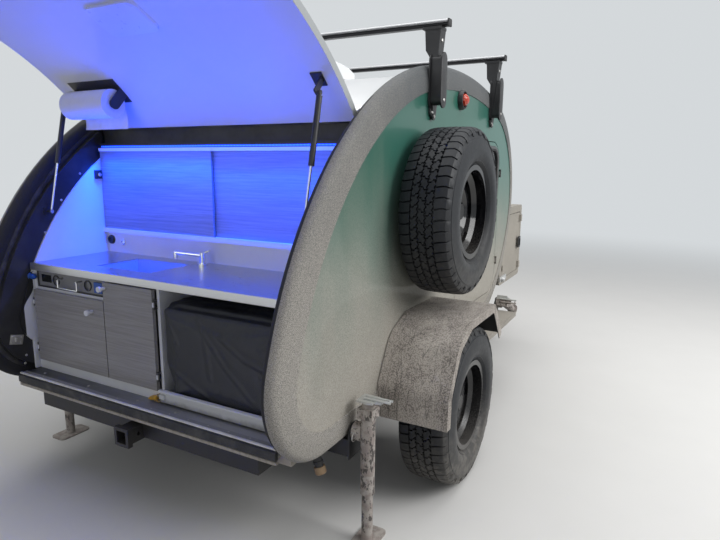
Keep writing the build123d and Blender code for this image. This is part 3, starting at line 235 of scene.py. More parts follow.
# %% Box and turned profile
def add_box(mesh, low, high, edge=0.0, turn=None, coat=0):
    """A box between two corners, with its edges eased, turned about its middle."""
    middle = (Vector(low) + Vector(high)) / 2
    half = (Vector(high) - Vector(low)) / 2
    verts = []
    for z in (-half.z, half.z):
        for y in (-half.y, half.y):
            for x in (-half.x, half.x):
                point = Vector((x, y, z))
                verts.append(mesh.verts.new(middle + (turn @ point if turn else point)))
    sides = ((0, 2, 3, 1), (4, 5, 7, 6), (0, 1, 5, 4), (2, 6, 7, 3), (0, 4, 6, 2), (1, 3, 7, 5))
    faces = [mesh.faces.new([verts[i] for i in side]) for side in sides]
    for face in faces:
        face.material_index = coat
    if edge:
        edges = list({e for face in faces for e in face.edges})
        bmesh.ops.bevel(mesh, geom=edges, offset=edge, segments=2, affect="EDGES", profile=0.6)


def facing(at, towards):
    """A placing whose Z axis looks along a direction."""
    return Matrix.Translation(at) @ Vector(towards).to_track_quat("Z", "Y").to_matrix().to_4x4()


def neighbours(rings, closed):
    """Each ring with the one after it; a closed run ends where it began."""
    return list(zip(rings, rings[1:] + rings[:1] if closed else rings[1:]))


def join_rings(mesh, rings, closed=False, coat=0):
    """Quads between each ring of points and the next."""
    for one, two in neighbours(rings, closed):
        for k in range(len(one)):
            m = (k + 1) % len(one)
            mesh.faces.new((one[k], one[m], two[m], two[k])).material_index = coat


def add_turned(mesh, placing, profile, steps=20, coat=0, closed=False):
    """Turn a profile of (radius, height) pairs about the placing's Z axis.

    A closed profile joins its last pair to its first and leaves the middle open.
    """
    rings = []
    for radius, height in profile:
        count = steps if radius > 1e-6 else 1
        ring = []
        for i in range(count):
            a = math.tau * i / steps
            point = Vector((radius * math.cos(a), radius * math.sin(a), height))
            ring.append(mesh.verts.new(placing @ point))
        rings.append(ring)
    for low, high in neighbours(rings, closed):
        for i in range(steps):
            j = (i + 1) % steps
            corners = [low[i % len(low)], low[j % len(low)], high[j % len(high)], high[i % len(high)]]
            corners = list(dict.fromkeys(corners))
            if len(corners) > 2:
                mesh.faces.new(corners).material_index = coat
    for ring in (rings[0], rings[-1]):
        if len(ring) > 2 and not closed:
            mesh.faces.new(ring).material_index = coat


def dome(radius, height):
    """Profile of a rivet or button head."""
    return [(radius, 0), (radius * 0.92, height * 0.5), (radius * 0.6, height * 0.88), (0, height)]


# %% [markdown]
# Strips, seals and wires are a section carried along a path.  A curve with a bevel could
# do that too, but here the section keeps its sides as written and the path can close.
# The trailer's outline is two tangent arcs, so a path along it needs only their centres.

# %% Swept section and outline
def add_swept(mesh, path, section, closed=False, side=Vector((1, 0, 0)), coat=0):
    """Carry a section of (across, out) pairs along a path; across is measured along side."""
    rings = []
    last = len(path) - 1
    for i, point in enumerate(path):
        before = path[i - 1] if i or closed else path[0]
        after = path[(i + 1) % len(path)] if i < last or closed else path[last]
        run = (after - before).normalized()
        out = run.cross(side).normalized()
        rings.append([mesh.verts.new(point + side * u + out * v) for u, v in section])
    join_rings(mesh, rings, closed, coat)
    if not closed:
        for ring in (rings[0], rings[-1]):
            mesh.faces.new(ring).material_index = coat


def round_section(radius, steps=10):
    """The section of a tube or bar."""
    angles = [math.tau * k / steps for k in range(steps)]
    return [(radius * math.cos(a), radius * math.sin(a)) for a in angles]


BACK_ARC = (0.3531, 0.4106, 1.504)     # centre y, centre z, radius of the back
TAIL_ARC = (-0.804, 0.725, 0.305)      # and of the tail under it
ARCS_MEET = 164.8                      # degrees from +Y towards +Z


def outline_points(x, inset, start, stop, steps=44):
    """Points on the rear of the side outline, moved inwards by inset, from angle to angle."""
    points = []
    for i in range(steps + 1):
        degrees = start + (stop - start) * i / steps
        y, z, radius = BACK_ARC if degrees < ARCS_MEET else TAIL_ARC
        a = math.radians(degrees)
        points.append(Vector((x, y + (radius - inset) * math.cos(a), z + (radius - inset) * math.sin(a))))
    return points


# %% [markdown]
# A finished mesh becomes a piece: an object with its materials, its sharp edges found
# by angle, and the body of the trailer that it moves with.

# %% From mesh to piece
def piece(name, mesh, body, slot, *materials, at=(0, 0, 0), bend=38):
    """Turn a built bmesh into an object that rides on one of the trailer's bodies."""
    bmesh.ops.recalc_face_normals(mesh, faces=mesh.faces)
    data = bpy.data.meshes.new(name)
    mesh.to_mesh(data)
    mesh.free()
    data.shade_smooth()
    data.set_sharp_from_angle(angle=math.radians(bend))
    for material in materials:
        data.materials.append(material)
    made = bpy.data.objects.new(name, data)
    bpy.context.collection.objects.link(made)
    made.location = at
    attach(made, body)
    print(name, "has", len(data.polygons), "faces and rides on", body)
    return made


# %% [markdown]
# ## Road dust
# The trailer has come down a dirt road.  Dust lies thickest low on the body and thins
# out towards the roof, with soft clouds and runs where water took it down.  One function
# makes that mask from the height and some noise, and every outdoor finish mixes its own
# colour with the dust.

# %% Dust mask and dusty finishes
DUST = (0.43, 0.395, 0.345)
MUD = (0.20, 0.175, 0.15)


def dust_mask(place, low, high, grain):
    """1 near the ground, 0 near the roof, broken up by clouds, runs and grain."""
    height = place.axis(2)
    cloud = place.noise(1.7, 3.0, 0.5) - 0.5
    runs = place.noise(11.0, 3.0, 0.5, (1.0, 1.0, 0.14)) - 0.5
    speck = place.noise(180.0, 3.0) - 0.5
    return (height + cloud * 0.55 + runs * 0.22 + speck * grain).ramp(high, low)


def dusty(name, colour, roughness, low, high, most=0.9, metallic=0.0, dust=DUST, grain=0.12, **constants):
    """A painted or moulded surface under road dust."""
    material, shader, place = finish(name, colour, roughness, metallic, **constants)
    mask = dust_mask(place, low, high, grain) * most
    speckle = place.noise(320.0, 2.0).ramp(0.36, 0.60)
    patch = place.noise(5.0, 4.0).ramp(0.35, 0.70)
    shaded = tuple(0.74 * v for v in dust)
    bleached = tuple(1.12 * v for v in dust)
    soil = speckle.blend(shaded, patch.blend(dust, bleached))
    put(shader, "Base Color", mask.blend(colour, soil))
    put(shader, "Roughness", mask * (0.93 - roughness) + roughness)
    bump(shader, place.noise(320.0, 2.0) * mask, 0.3, 0.0012)
    return material, shader, place, mask, soil


# %% [markdown]
# ## The painted walls
# The side walls and doors are a deep sea-green paint.  The door frames, hinge barrels and
# handles stand proud of that paint in black rubber and plastic.  They could be separate
# objects with their own material.  Because the place on the trailer is known, a step on
# the distance from the middle, |x|, tells the two apart without cutting the mesh.

# %% Walls and doors
WALL_GREEN = (0.030, 0.135, 0.098)
BLACK = (0.016, 0.016, 0.018)
PAINT_OUT = 0.8427                     # |x| of the painted face

wall_paint, shader, place, mask, soil = dusty(
    "sea_green_wall", WALL_GREEN, 0.36, 0.60, 1.58, 0.95, Coat_Weight=0.25)
tint = place.clouds(0.9, 2.0, 0.35, 0.65, (0.022, 0.125, 0.088), (0.042, 0.150, 0.118))
proud = abs(place.axis(0)).past(PAINT_OUT, 0.0006)
trim = (mask * 0.55).blend(BLACK, soil)
put(shader, "Base Color", proud.blend(mask.blend(tint, soil), trim))
wear(wall_paint, "side_walls", "cabin_door_right", "cabin_door_left")

# %% [markdown]
# The thick rims that frame each side are coated dark grey.  The dust has stuck to their
# rough coat, so low down they look sand-coloured and only near the roof dark.  Their
# faces inside the galley's opening are black, which two more steps pick out.

# %% Edge rims
RIM_GREY = (0.072, 0.080, 0.086)
RIM_INNER = 0.800                      # |x| of the rims' faces in the opening
OPENING_TOP_Y = -0.400

rim_coat, shader, place, mask, soil = dusty("textured_grey_rim", RIM_GREY, 0.62, 0.85, 2.05, 0.92, grain=0.75)
in_opening = abs(place.axis(0)).under(RIM_INNER, 0.0006) * place.axis(1).under(OPENING_TOP_Y, 0.002)
grit = place.noise(420.0, 2.0, 0.6)
sandy = grit.ramp(0.30, 0.66).blend((0.15, 0.145, 0.135), (0.50, 0.465, 0.415))
put(shader, "Base Color", in_opening.blend(mask.blend(RIM_GREY, sandy), (0.014, 0.014, 0.016)))
bump(shader, grit, 0.35, 0.0014)
wear(rim_coat, "edge_rims")

# %% [markdown]
# The fenders are the dirtiest parts: a crust of pale mud with fine rills, cracks that run
# down it, and darker drifts.  Their inner side stays black.  An inner face looks towards
# the hub, so the dot product of its normal and the way from the hub is negative there.

# %% Fenders and steps
HUB_Z = 0.3668

mud_coat, shader, place, _, _ = dusty("muddy_fender", (0.05, 0.05, 0.05), 0.85, 0.6, 2.6, 0.96, grain=0.3)
rills = place.noise(240.0, 2.0, 0.5, (1.0, 1.0, 0.7)).ramp(0.47, 0.57)
cracks = 1 - abs(place.noise(26.0, 1.5, 0.5, (1.0, 0.4, 0.07)) - 0.5).ramp(0.002, 0.016)
drifts = place.noise(9.0, 4.0, 0.6, (1.0, 1.0, 0.5)).ramp(0.36, 0.62)
mud = drifts.blend((0.43, 0.385, 0.345), (0.54, 0.49, 0.44))
spotted = (rills * (0.66 - drifts * 0.26)).blend(mud, (0.045, 0.042, 0.040))
spotted = (cracks * 0.5).blend(spotted, (0.060, 0.054, 0.050))
from_hub = place.vector("MULTIPLY", (0, 1, 1)).vector("SUBTRACT", (0, 0, HUB_Z))
outward = place.node("NewGeometry", out=1).vector("DOT_PRODUCT", from_hub, out=1)
inside = 1 - outward.ramp(-0.10, -0.02)
put(shader, "Base Color", inside.blend(spotted, (0.030, 0.029, 0.028)))
bump(shader, place.noise(330.0, 3.0, 0.6), 0.6, 0.0016)
wear(mud_coat, "fenders")

step_coat = dusty("dusty_step", (0.05, 0.05, 0.05), 0.7, 0.3, 1.1, 0.9, grain=0.3)[0]
wear(step_coat, "side_steps")

# %% [markdown]
# ## Frame, box and roof
# The rest of the outside needs nothing more than its own colour under the same dust; the frame
# steel is kept near black with little dust, partly its own black paint and partly painted shade
# under the sill.  Each line gives the paint, its roughness, the heights between which the dust
# thins out, and how thick the dust is at most.  Only the zinc parts are metal.

# %% Frame, tongue, box and roof
# The frame steel: near black with little dust, partly painted shade for its rear member under the sill.
black_steel_and_shade = dusty("black_frame_steel_and_shade", (0.010, 0.010, 0.011), 0.5, 0.05, 0.50, 0.22, dust=MUD)[0]
zinc = dusty("zinc_plate", (0.50, 0.49, 0.47), 0.38, 0.1, 0.9, 0.6, 0.9, MUD)[0]
box_paint = dusty("box_green_paint", (0.10, 0.15, 0.12), 0.5, 0.9, 2.2, 0.97, grain=0.3)[0]
white_skin = dusty("white_roof_skin", (0.80, 0.81, 0.82), 0.28, 0.2, 1.2, 0.4)[0]
wear(black_steel_and_shade, "chassis_frame", "receiver_tube", "axle_beam", "spare_carrier")
wear(zinc, "coupler", "tongue_jack")
wear(box_paint, "tongue_box", "box_door_right", "box_door_left")
wear(white_skin, "roof_shell", "vent_frame", "vent_lid")

# %% [markdown]
# The swing jacks have a pale plated head plate and chromed pull bars on a tube that is
# caked in mud.  Height again tells them apart: everything above the head plate is clean.

# %% Jacks
HEAD_PLATE_Z = 0.574
FOOT_Z = 0.022

jack_coat, shader, place, _, _ = dusty("muddy_jack_tube", (0.30, 0.29, 0.27), 0.55, 0.15, 0.95, 0.92, 0.2)
head_plate = place.axis(2).past(HEAD_PLATE_Z, 0.002)
foot = place.axis(2).under(FOOT_Z, 0.004)
scuff = place.noise(46.0, 5.0, 0.7, (1.0, 1.0, 0.55)).ramp(0.53, 0.58)
pink_mud = place.noise(30.0, 4.0, 0.6).ramp(0.4, 0.6).blend((0.33, 0.285, 0.26), (0.46, 0.42, 0.385))
tube_tone = (scuff * (0.85 - foot * 0.75)).blend(pink_mud, (0.055, 0.050, 0.048))
put(shader, "Base Color", head_plate.blend(tube_tone, (0.62, 0.63, 0.62)))
put(shader, "Metallic", head_plate * 0.75)
put(shader, "Roughness", head_plate.ramp(0, 1, 0.85, 0.30) + place.noise(60.0) * 0.1)
wear(jack_coat, "jack_rear_right", "jack_rear_left", "jack_front_right", "jack_front_left")

# %% [markdown]
# ## The hatch
# The hatch is a white sandwich panel.  Its two side edges carry a light grey profile,
# and its skin has the faint ripple of a large flat laminate.

# %% Hatch skin
HATCH_FLANK = 0.7535                   # |x| where the grey side profile starts

hatch_white, shader, place = finish("white_hatch_skin", (0.80, 0.81, 0.83), 0.22, 0.0, Coat_Weight=0.3)
flank = abs(place.axis(0)).past(HATCH_FLANK, 0.0003)
skin = place.clouds(1.4, 3.0, 0.3, 0.7, (0.77, 0.78, 0.80), (0.83, 0.84, 0.85))
put(shader, "Base Color", flank.blend(skin, (0.42, 0.44, 0.45)))
mottle(shader, place, 7.0, 0.14, 0.30)
bump(shader, place.noise(2.6, 2.0), 0.18, 0.006)
wear(hatch_white, "hatch_shell")

# %% [markdown]
# ## Galley boards
# The doors and sliders are grey laminate with a long printed grain that runs across the
# trailer.  A picture of wood would do it, but would repeat and needs a mapping.  A noise
# stretched along X gives the grain instead, and a finer one gives its pores.

# %% Grained doors and sliders
def grained_board(name, pale, dark, roughness=0.42):
    """Laminate with a long printed grain along X.  Its colour wire comes last."""
    material, shader, place = finish(name, pale, roughness)
    grain = place.noise(9.0, 5.0, 0.65, (0.35, 4.0, 14.0))
    pores = place.noise(30.0, 3.0, 0.6, (0.25, 6.0, 22.0))
    mask = (grain * 0.5 + pores * 0.5).ramp(0.36, 0.64)
    colour = mask.blend(dark, pale)
    put(shader, "Base Color", colour)
    put(shader, "Roughness", mask * 0.12 + roughness - 0.06)
    bump(shader, mask, 0.12, 0.0006)
    return material, shader, place, colour


KNOB_Y = -0.8722                       # the knobs stand further back than the doors

door_board, shader, place, colour = grained_board(
    "grey_grain_laminate", (0.33, 0.32, 0.32), (0.23, 0.22, 0.215))
knobs = place.axis(1).under(KNOB_Y, 0.0004)
put(shader, "Base Color", knobs.blend(colour, (0.78, 0.79, 0.80)))
wear(door_board, "galley_door_left", "galley_door_middle")

slider_board = grained_board("slider_laminate", (0.30, 0.29, 0.29), (0.20, 0.195, 0.20), 0.34)[0]
wear(slider_board, "slider_left", "slider_right")

# %% [markdown]
# The bulkhead, the locker, the liners and the cupboard are one white board.  Two of them
# carry a dark part in the same solid: the liners are black behind a slanted edge line
# below the counter, and the cupboard has dark hinge lugs at its front.  A mask paints
# each over the white.

# %% White boards
def white_board_finish(name, dim=(0.76, 0.77, 0.79), bright=(0.83, 0.84, 0.86)):
    """White laminate, a little uneven in tone and gloss.  Its colour wire comes last."""
    material, shader, place = finish(name, (0.80, 0.81, 0.83), 0.35)
    colour = place.clouds(3.0, 3.0, 0.3, 0.7, dim, bright)
    put(shader, "Base Color", colour)
    mottle(shader, place, 16.0, 0.2, 0.26)
    return material, shader, place, colour


white_board, shader, place, _ = white_board_finish("white_laminate")
bump(shader, place.noise(240.0, 2.0), 0.06, 0.0004)
wear(white_board, "bulkhead", "upper_locker")

liner_board, shader, place, colour = white_board_finish("white_liner_board")
height = place.axis(2)
# Behind this slanted line and below the counter the liner is painted black.
slanted_edge_y = height.ramp(0.780, 0.880, -0.915, -0.862)
behind_edge = (slanted_edge_y - place.axis(1)).past(0.0, 0.0006) * height.under(0.968, 0.001)
put(shader, "Base Color", behind_edge.blend(colour, BLACK))
wear(liner_board, "galley_liners")

cabinet_board, shader, place, colour = white_board_finish(
    "white_cabinet_board", (0.72, 0.73, 0.75), (0.80, 0.81, 0.83))
hinge_lugs = place.axis(1).under(-0.8505, 0.0004) * place.axis(2).past(0.532, 0.001)
put(shader, "Base Color", hinge_lugs.blend(colour, (0.06, 0.06, 0.065)))
wear(cabinet_board, "galley_cabinet")

# %% [markdown]
# The floor is one board, but it shows in two ways: a grained deck in the cabin, and a
# grey metal-faced shelf at the galley's sill, darker towards the left.  The tray on it is
# white, painted darker along its foot: painted shade of the gap between tray and shelf.

# %% Floor and tray
SILL_Y = -0.850
SILL_SKIN_Z = 0.462

floor_board, shader, place, deck = grained_board("floor_deck_board", (0.34, 0.33, 0.33), (0.20, 0.19, 0.185))
on_sill = place.axis(1).under(SILL_Y, 0.001)
# The shelf is painted darker towards the left.
paler_to_right = (place.axis(0) * 0.75 + place.noise(6.0, 5.0, 0.65) * 0.7).ramp(-0.15, 0.85)
sill_grey = paler_to_right.blend((0.050, 0.052, 0.055), (0.30, 0.30, 0.30))
sill_coat = place.axis(2).past(SILL_SKIN_Z, 0.002).blend((0.40, 0.36, 0.31), sill_grey)
put(shader, "Base Color", on_sill.blend(deck, sill_coat))
wear(floor_board, "floor_deck")

tray_white, shader, place = finish("white_tray_coat", (0.70, 0.71, 0.72), 0.35, 0.1)
# Below this height the tray is painted darker: painted shade of the gap above the shelf.
above_painted_shade = (place.axis(2) + place.noise(20.0, 4.0, 0.6) * 0.03).ramp(0.508, 0.535)
put(shader, "Base Color", above_painted_shade.blend((0.36, 0.36, 0.36), (0.72, 0.73, 0.74)))
wear(tray_white, "slide_tray")

# %% [markdown]
# ## Metals
# Brushed aluminium is a mirror with scratches that all run one way.  Real scratches are
# too fine for a mesh, so a noise that is squeezed along X roughens the gloss instead.
# The roof bars wear the same metal, dark with black sides, and their tops are painted pale: a painted
# highlight.

# %% Aluminium, worktop and chrome
def brushing(shader, place, scale, stretch, spread, base):
    """Roughness in fine lines along X."""
    put(shader, "Roughness", place.noise(scale, 3.0, 0.6, stretch) * spread + base)


BAR_TOP_Z = 2.063
BOWL_Z = 0.9845                        # under it lies the sink's bowl
DRAINER_X = -0.02                      # the worktop is ribbed from here on

brushed, shader, place = finish("brushed_aluminium", (0.60, 0.60, 0.61), 0.32, 1.0)
brushing(shader, place, 60.0, (0.06, 4.0, 4.0), 0.25, 0.24)
bump(shader, place.noise(90.0, 2.0, 0.5, (0.04, 5.0, 5.0)), 0.08, 0.0005)
wear(brushed, "hinge_rail")

bar_coat, shader, place = finish("roof_bar_with_painted_highlight", (0.40, 0.40, 0.41), 0.35, 0.8)
# Above this height the bar is painted pale silver, a painted highlight along its top.
highlighted_top = place.axis(2).past(BAR_TOP_Z, 0.001)
put(shader, "Base Color", highlighted_top.blend((0.022, 0.022, 0.024), (0.50, 0.50, 0.51)))
brushing(shader, place, 60.0, (0.06, 4.0, 4.0), 0.25, 0.26)
wear(bar_coat, "roof_bars")

steel_top, shader, place = finish("ribbed_steel_top", (0.55, 0.56, 0.58), 0.28, 1.0)
ribs = place.node("TexWave", {"bands_direction": "Y"}, {"Vector": place, "Scale": 26.0})
bump(shader, ribs * place.axis(0).past(DRAINER_X, 0.01), 0.35, 0.0015)
brushing(shader, place, 40.0, (0.2, 3.0, 3.0), 0.22, 0.20)
put(shader, "Metallic", 1 - place.axis(2).under(BOWL_Z, 0.0008) * 0.6)
wear(steel_top, "counter_sink")

chrome, shader, place = finish("chrome_plate", (0.78, 0.79, 0.80), 0.12, 1.0)
mottle(shader, place, 25.0, 0.12, 0.07)
wear(chrome, "tap", "strut_rod_right", "strut_rod_left")

# %% [markdown]
# ## Black mouldings
# Rack towers, strut tubes and hinge parts are black plastic or black-coated metal.  The
# finish is nearly one colour, so its life comes from the roughness and a fine grain.
# The sill's lip is worn grey on top, and the roll's holder ends in a bright cap.

# %% Black plastic, seal, lip and holder
LIP_TOP_Z = 0.4875
HOLDER_CAP = (-0.6645, -0.655)         # x of the bright end cap

black_plastic, shader, place = finish("black_moulding", (0.018, 0.018, 0.02), 0.45)
black_tone = place.clouds(9.0, 4.0, 0.3, 0.75, (0.014, 0.014, 0.016), (0.032, 0.032, 0.034))
put(shader, "Base Color", black_tone)
mottle(shader, place, 40.0, 0.3, 0.3)
bump(shader, place.noise(500.0, 2.0), 0.15, 0.0004)
wear(black_plastic, "rack_towers", "strut_tube_right", "strut_tube_left", "hinge_header", "hatch_jambs")

seal_rubber, shader, place = finish("seal_rubber", (0.022, 0.022, 0.024), 0.7)
seal_tone = place.clouds(14.0, 4.0, 0.42, 0.8, (0.020, 0.020, 0.022), (0.075, 0.072, 0.068))
put(shader, "Base Color", seal_tone)
mottle(shader, place, 30.0, 0.25, 0.55)

lip_coat, shader, place = finish("sill_lip_coat", (0.12, 0.12, 0.12), 0.5)
lip_top = place.axis(2).past(LIP_TOP_Z)
put(shader, "Base Color", lip_top.blend((0.018, 0.018, 0.019), (0.24, 0.24, 0.24)))
mottle(shader, place, 30.0, 0.3, 0.4)
wear(lip_coat, "sill_lip")

roll_holder, shader, place = finish("roll_holder_metal", (0.05, 0.05, 0.055), 0.3, 0.3)
bright_end = place.axis(0).between(*HOLDER_CAP, 0.0004)
put(shader, "Base Color", bright_end.blend((0.03, 0.03, 0.034), (0.60, 0.60, 0.63)))
put(shader, "Metallic", bright_end * 0.9)
mottle(shader, place, 30.0, 0.2, 0.25)
wear(roll_holder, "hatch_fittings")

# %% [markdown]
# ## The control panel
# One CAD solid carries a grey plate in a black frame, a blank display, two round vents,
# a chromed guard hoop and a blue switch block.  Each lies in its own box of the trailer's
# axes, so each gets its colour from a mask of that box, and the hoop's mask also drives
# the metal.

# %% Panel
FACE_Y = -0.8462                       # the display and the switches stand out to here
VENT_Y = -0.8445
VENT_Z = (0.89, 0.95)


def region(place, x, z, front):
    """1 inside an x and z window, and further back than `front` in y (more negative)."""
    return place.axis(0).between(*x) * place.axis(2).between(*z) * place.axis(1).under(front, 0.0004)


panel_coat, shader, place = finish("control_panel_coat", (0.22, 0.22, 0.23), 0.4)
plate = place.axis(0).between(-0.7128, -0.2508) * place.axis(2).between(0.8872, 0.9528)
hoop = region(place, (-0.545, -0.399), (0.885, 0.945), -0.8535)
display = region(place, (-0.6882, -0.6178), (0.905, 0.941), FACE_Y)
switches = region(place, (-0.3132, -0.2618), (0.895, 0.943), FACE_Y)
vents = region(place, (-0.606, -0.558), VENT_Z, VENT_Y) + region(place, (-0.387, -0.339), VENT_Z, VENT_Y)
colour = plate.blend((0.02, 0.02, 0.022), (0.24, 0.24, 0.25))
colour = (vents * (1 - hoop)).blend(colour, (0.025, 0.025, 0.027))
colour = display.blend(colour, (0.012, 0.014, 0.016))
colour = switches.blend(colour, (0.03, 0.10, 0.42))
put(shader, "Base Color", hoop.blend(colour, (0.75, 0.76, 0.78)))
put(shader, "Metallic", hoop)
put(shader, "Roughness", 0.42 - hoop * 0.3 - display * 0.3 + place.noise(80.0) * 0.06)
wear(panel_coat, "control_panel")

# %% [markdown]
# ## Wheel rims, lamps and glass
# Wheel rims are gloss black steel.  The running wheels have dust on their barrels and
# the dish, the spare is cleaner but has dust in its lower half.  The marker lamps have a
# ribbed lens, and the windows a dark tint that lets a little light through.

# %% Rims, lamps and glass
LENS_X = 0.8595                        # |x| where a marker lamp's lens starts

wheel_black = dusty("black_wheel_paint", (0.009, 0.009, 0.011), 0.22, -0.10, 0.55, 0.34, grain=0.35)[0]
spare_black = dusty("spare_wheel_paint", (0.006, 0.006, 0.008), 0.10, 0.70, 1.20, 0.35, grain=0.4)[0]
wear(wheel_black, "wheel_rim_right", "wheel_rim_left")
wear(spare_black, "spare_rim")

lamp_coat, shader, place = finish("marker_lens", (0.75, 0.08, 0.02), 0.2, Coat_Weight=0.5)
lens_part = abs(place.axis(0)).past(LENS_X)
ribbed = place.node("TexWave", {"bands_direction": "Z"}, {"Vector": place, "Scale": 40.0})
put(shader, "Base Color", lens_part.blend(BLACK, ribbed.blend((0.46, 0.022, 0.006), (0.72, 0.060, 0.012))))
bump(shader, ribbed * lens_part, 0.25, 0.001)
wear(lamp_coat, "marker_lamps")

dome_lens, shader, place = finish("frosted_lamp_lens", (0.82, 0.85, 0.92), 0.3, Coat_Weight=0.4)
mottle(shader, place, 30.0, 0.2, 0.2)
bump(shader, place.noise(220.0, 2.0), 0.15, 0.0006)
wear(dome_lens, "hatch_light")

tinted, shader, place = finish("tinted_window", (0.018, 0.02, 0.023), 0.06, 0.0, Alpha=0.8)
mottle(shader, place, 20.0, 0.08, 0.04)
wear(tinted, "door_window_right", "door_window_left")

# %% [markdown]
# ## Tyre treads
# The tread is what the eye goes to: three staggered rows of hooked blocks and, on each
# side, lugs that wrap over the shoulder and run down the sidewall.  A texture could
# fake it in a flat picture, but the blocks stand out against the sky at the edge of the
# wheel, so they are real mesh.  One pitch repeats 52 times round the tyre, and these
# tables give its sizes.

# %% Tread tables
PITCHES = 52
TYRE_R = 0.36675
GROOVE = 0.0105
PITCH_ARC = math.tau * TYRE_R / PITCHES
# the rows of centre blocks: across, phase in pitches, hook
ROWS = ((-0.032, 0.0, 0.0046), (0.0, 0.38, -0.0052), (0.032, 0.70, 0.0046))
BLOCK_HALF = 0.0130
SIPE = 0.0064                          # width of the grooves between the blocks of a row
SWAY = 0.0040                          # how far the grooves between the rows wander
NOTCH = 0.0020                         # half width of the hook's step across a block
CROWN_GAP = 0.0004                     # the blocks' tops lie so far under the CAD surface
CROWN_FALL = 0.0040                    # and lower by this at the shoulder
SHOULDER = 0.0855
LUG_SHIFT = 0.17                       # how far the lugs sit from the first row, in pitches
# the shoulder lug: across, outer radius, inner across, inner radius, half width, twist
LUG = (
    (0.0510, 0.3656, 0.0500, 0.3550, 0.0190, 0.0042),
    (0.0700, 0.3646, 0.0700, 0.3545, 0.0193, 0.0006),
    (0.0860, 0.3624, 0.0850, 0.3518, 0.0192, -0.0014),
    (0.0982, 0.3562, 0.0945, 0.3468, 0.0188, 0.0010),
    (0.1052, 0.3452, 0.1005, 0.3408, 0.0178, 0.0),
    (0.1096, 0.3310, 0.1065, 0.3285, 0.0160, 0.0),
)
# half of the carcass: across, radius
CARCASS = (
    (0.0, 0.3562), (0.045, 0.3557), (0.085, 0.3520), (0.0945, 0.3468), (0.1005, 0.3408),
    (0.1065, 0.3285), (0.1085, 0.3215), (0.1108, 0.3200), (0.1125, 0.3050), (0.1160, 0.2860),
    (0.1172, 0.2740), (0.1175, 0.2620), (0.1150, 0.2400), (0.1062, 0.2262), (0.1075, 0.2235),
    (0.1040, 0.2200), (0.0960, 0.2150), (0.0915, 0.2120), (0.0840, 0.1895), (0.0700, 0.1895),
    (0.1015, 0.2740), (0.0795, 0.3445), (0.0, 0.3445),
)
print("one pitch of the tread is", round(PITCH_ARC * 1000, 1), "mm long")


def on_tyre(across, arc, radius, angle):
    """A point at a place across the tread and an arc length past an angle."""
    a = angle + arc / radius
    return Vector((across, radius * math.cos(a), radius * math.sin(a)))


# %% [markdown]
# A block is its hooked outline, drawn three times: wide at the groove's floor, then at
# the block's edge, and a little smaller on top for an eased edge.  The long sides sway,
# so the grooves between the rows run in a zigzag.

# %% Centre blocks
def add_loops(mesh, loops):
    """Skin a run of equal loops, and close its last one."""
    rings = [[mesh.verts.new(point) for point in loop] for loop in loops]
    join_rings(mesh, rings)
    mesh.faces.new(rings[-1])
    return rings


def sway(arc):
    """Where a lengthwise groove wanders to at an arc length: two zigzags to each pitch."""
    turn = (2 * arc / PITCH_ARC) % 1.0
    return SWAY * (4 * abs(turn - 0.5) - 1)


def block_outline(phase, hook):
    """The hooked outline of a centre block, as (across, arc) about its row."""
    low = phase * PITCH_ARC + SIPE / 2
    high = low + PITCH_ARC - SIPE
    knots = [PITCH_ARC / 4 * k for k in range(-8, 16)]
    right = [v for v in knots if low - hook + NOTCH < v < high - hook - NOTCH]
    left = [v for v in knots if low + hook + NOTCH < v < high + hook - NOTCH]
    outline = [(-BLOCK_HALF + sway(low + hook), low + hook), (-NOTCH, low + hook), (NOTCH, low - hook)]
    outline += [(BLOCK_HALF + sway(v), v) for v in [low - hook, *right, high - hook]]
    outline += [(NOTCH, high - hook), (-NOTCH, high + hook)]
    outline += [(-BLOCK_HALF + sway(v), v) for v in [high + hook, *reversed(left)]]
    return outline, (low + high) / 2


def add_centre_block(mesh, row, phase, hook, angle):
    """One block of a centre row; the crown of the tyre falls off towards its shoulders."""
    crown = TYRE_R - CROWN_GAP - CROWN_FALL * (row / SHOULDER) ** 2
    outline, middle = block_outline(phase, hook)
    loops = []
    for grow, drop in ((1.06, GROOVE), (1.0, 0.0010), (0.95, 0.0)):
        grown = [(row + u * grow, middle + (v - middle) * grow) for u, v in outline]
        loops.append([on_tyre(across, arc, crown - drop, angle) for across, arc in grown])
    add_loops(mesh, loops)


# %% [markdown]
# A lug is one section that changes from station to station on its way over the shoulder
# and down the sidewall.  Every second lug stops one station short.  The carcass under
# them is half a section, mirrored and turned about the axle.

# %% Lugs, carcass and a whole tyre
def add_lug(mesh, side, angle, stations):
    """A lug that wraps over one shoulder, from station to station."""
    loops = []
    for across, outer, foot, inner, half, twist in stations:
        section = (
            # across, arc as a share of the half width, radius
            (foot, -1.05, inner), (across, -1.0, outer - 0.0016), (across, -0.93, outer),
            (across, 0.93, outer), (across, 1.0, outer - 0.0016), (foot, 1.05, inner),
        )
        loops.append([on_tyre(side * u, side * twist + half * v, r, angle) for u, v, r in section])
    rings = add_loops(mesh, loops)
    mesh.faces.new(rings[0])


def add_carcass(mesh, steps=104):
    """The tyre under its tread: the half section and its mirror image, turned about X."""
    profile = list(dict.fromkeys(CARCASS + tuple((-u, r) for u, r in reversed(CARCASS))))
    rings = []
    for i in range(steps):
        rings.append([mesh.verts.new(on_tyre(u, 0, r, math.tau * i / steps)) for u, r in profile])
    for i, ring in enumerate(rings):
        after = rings[(i + 1) % steps]
        for k in range(len(profile)):
            m = (k + 1) % len(profile)
            mesh.faces.new((ring[k], after[k], after[m], ring[m]))


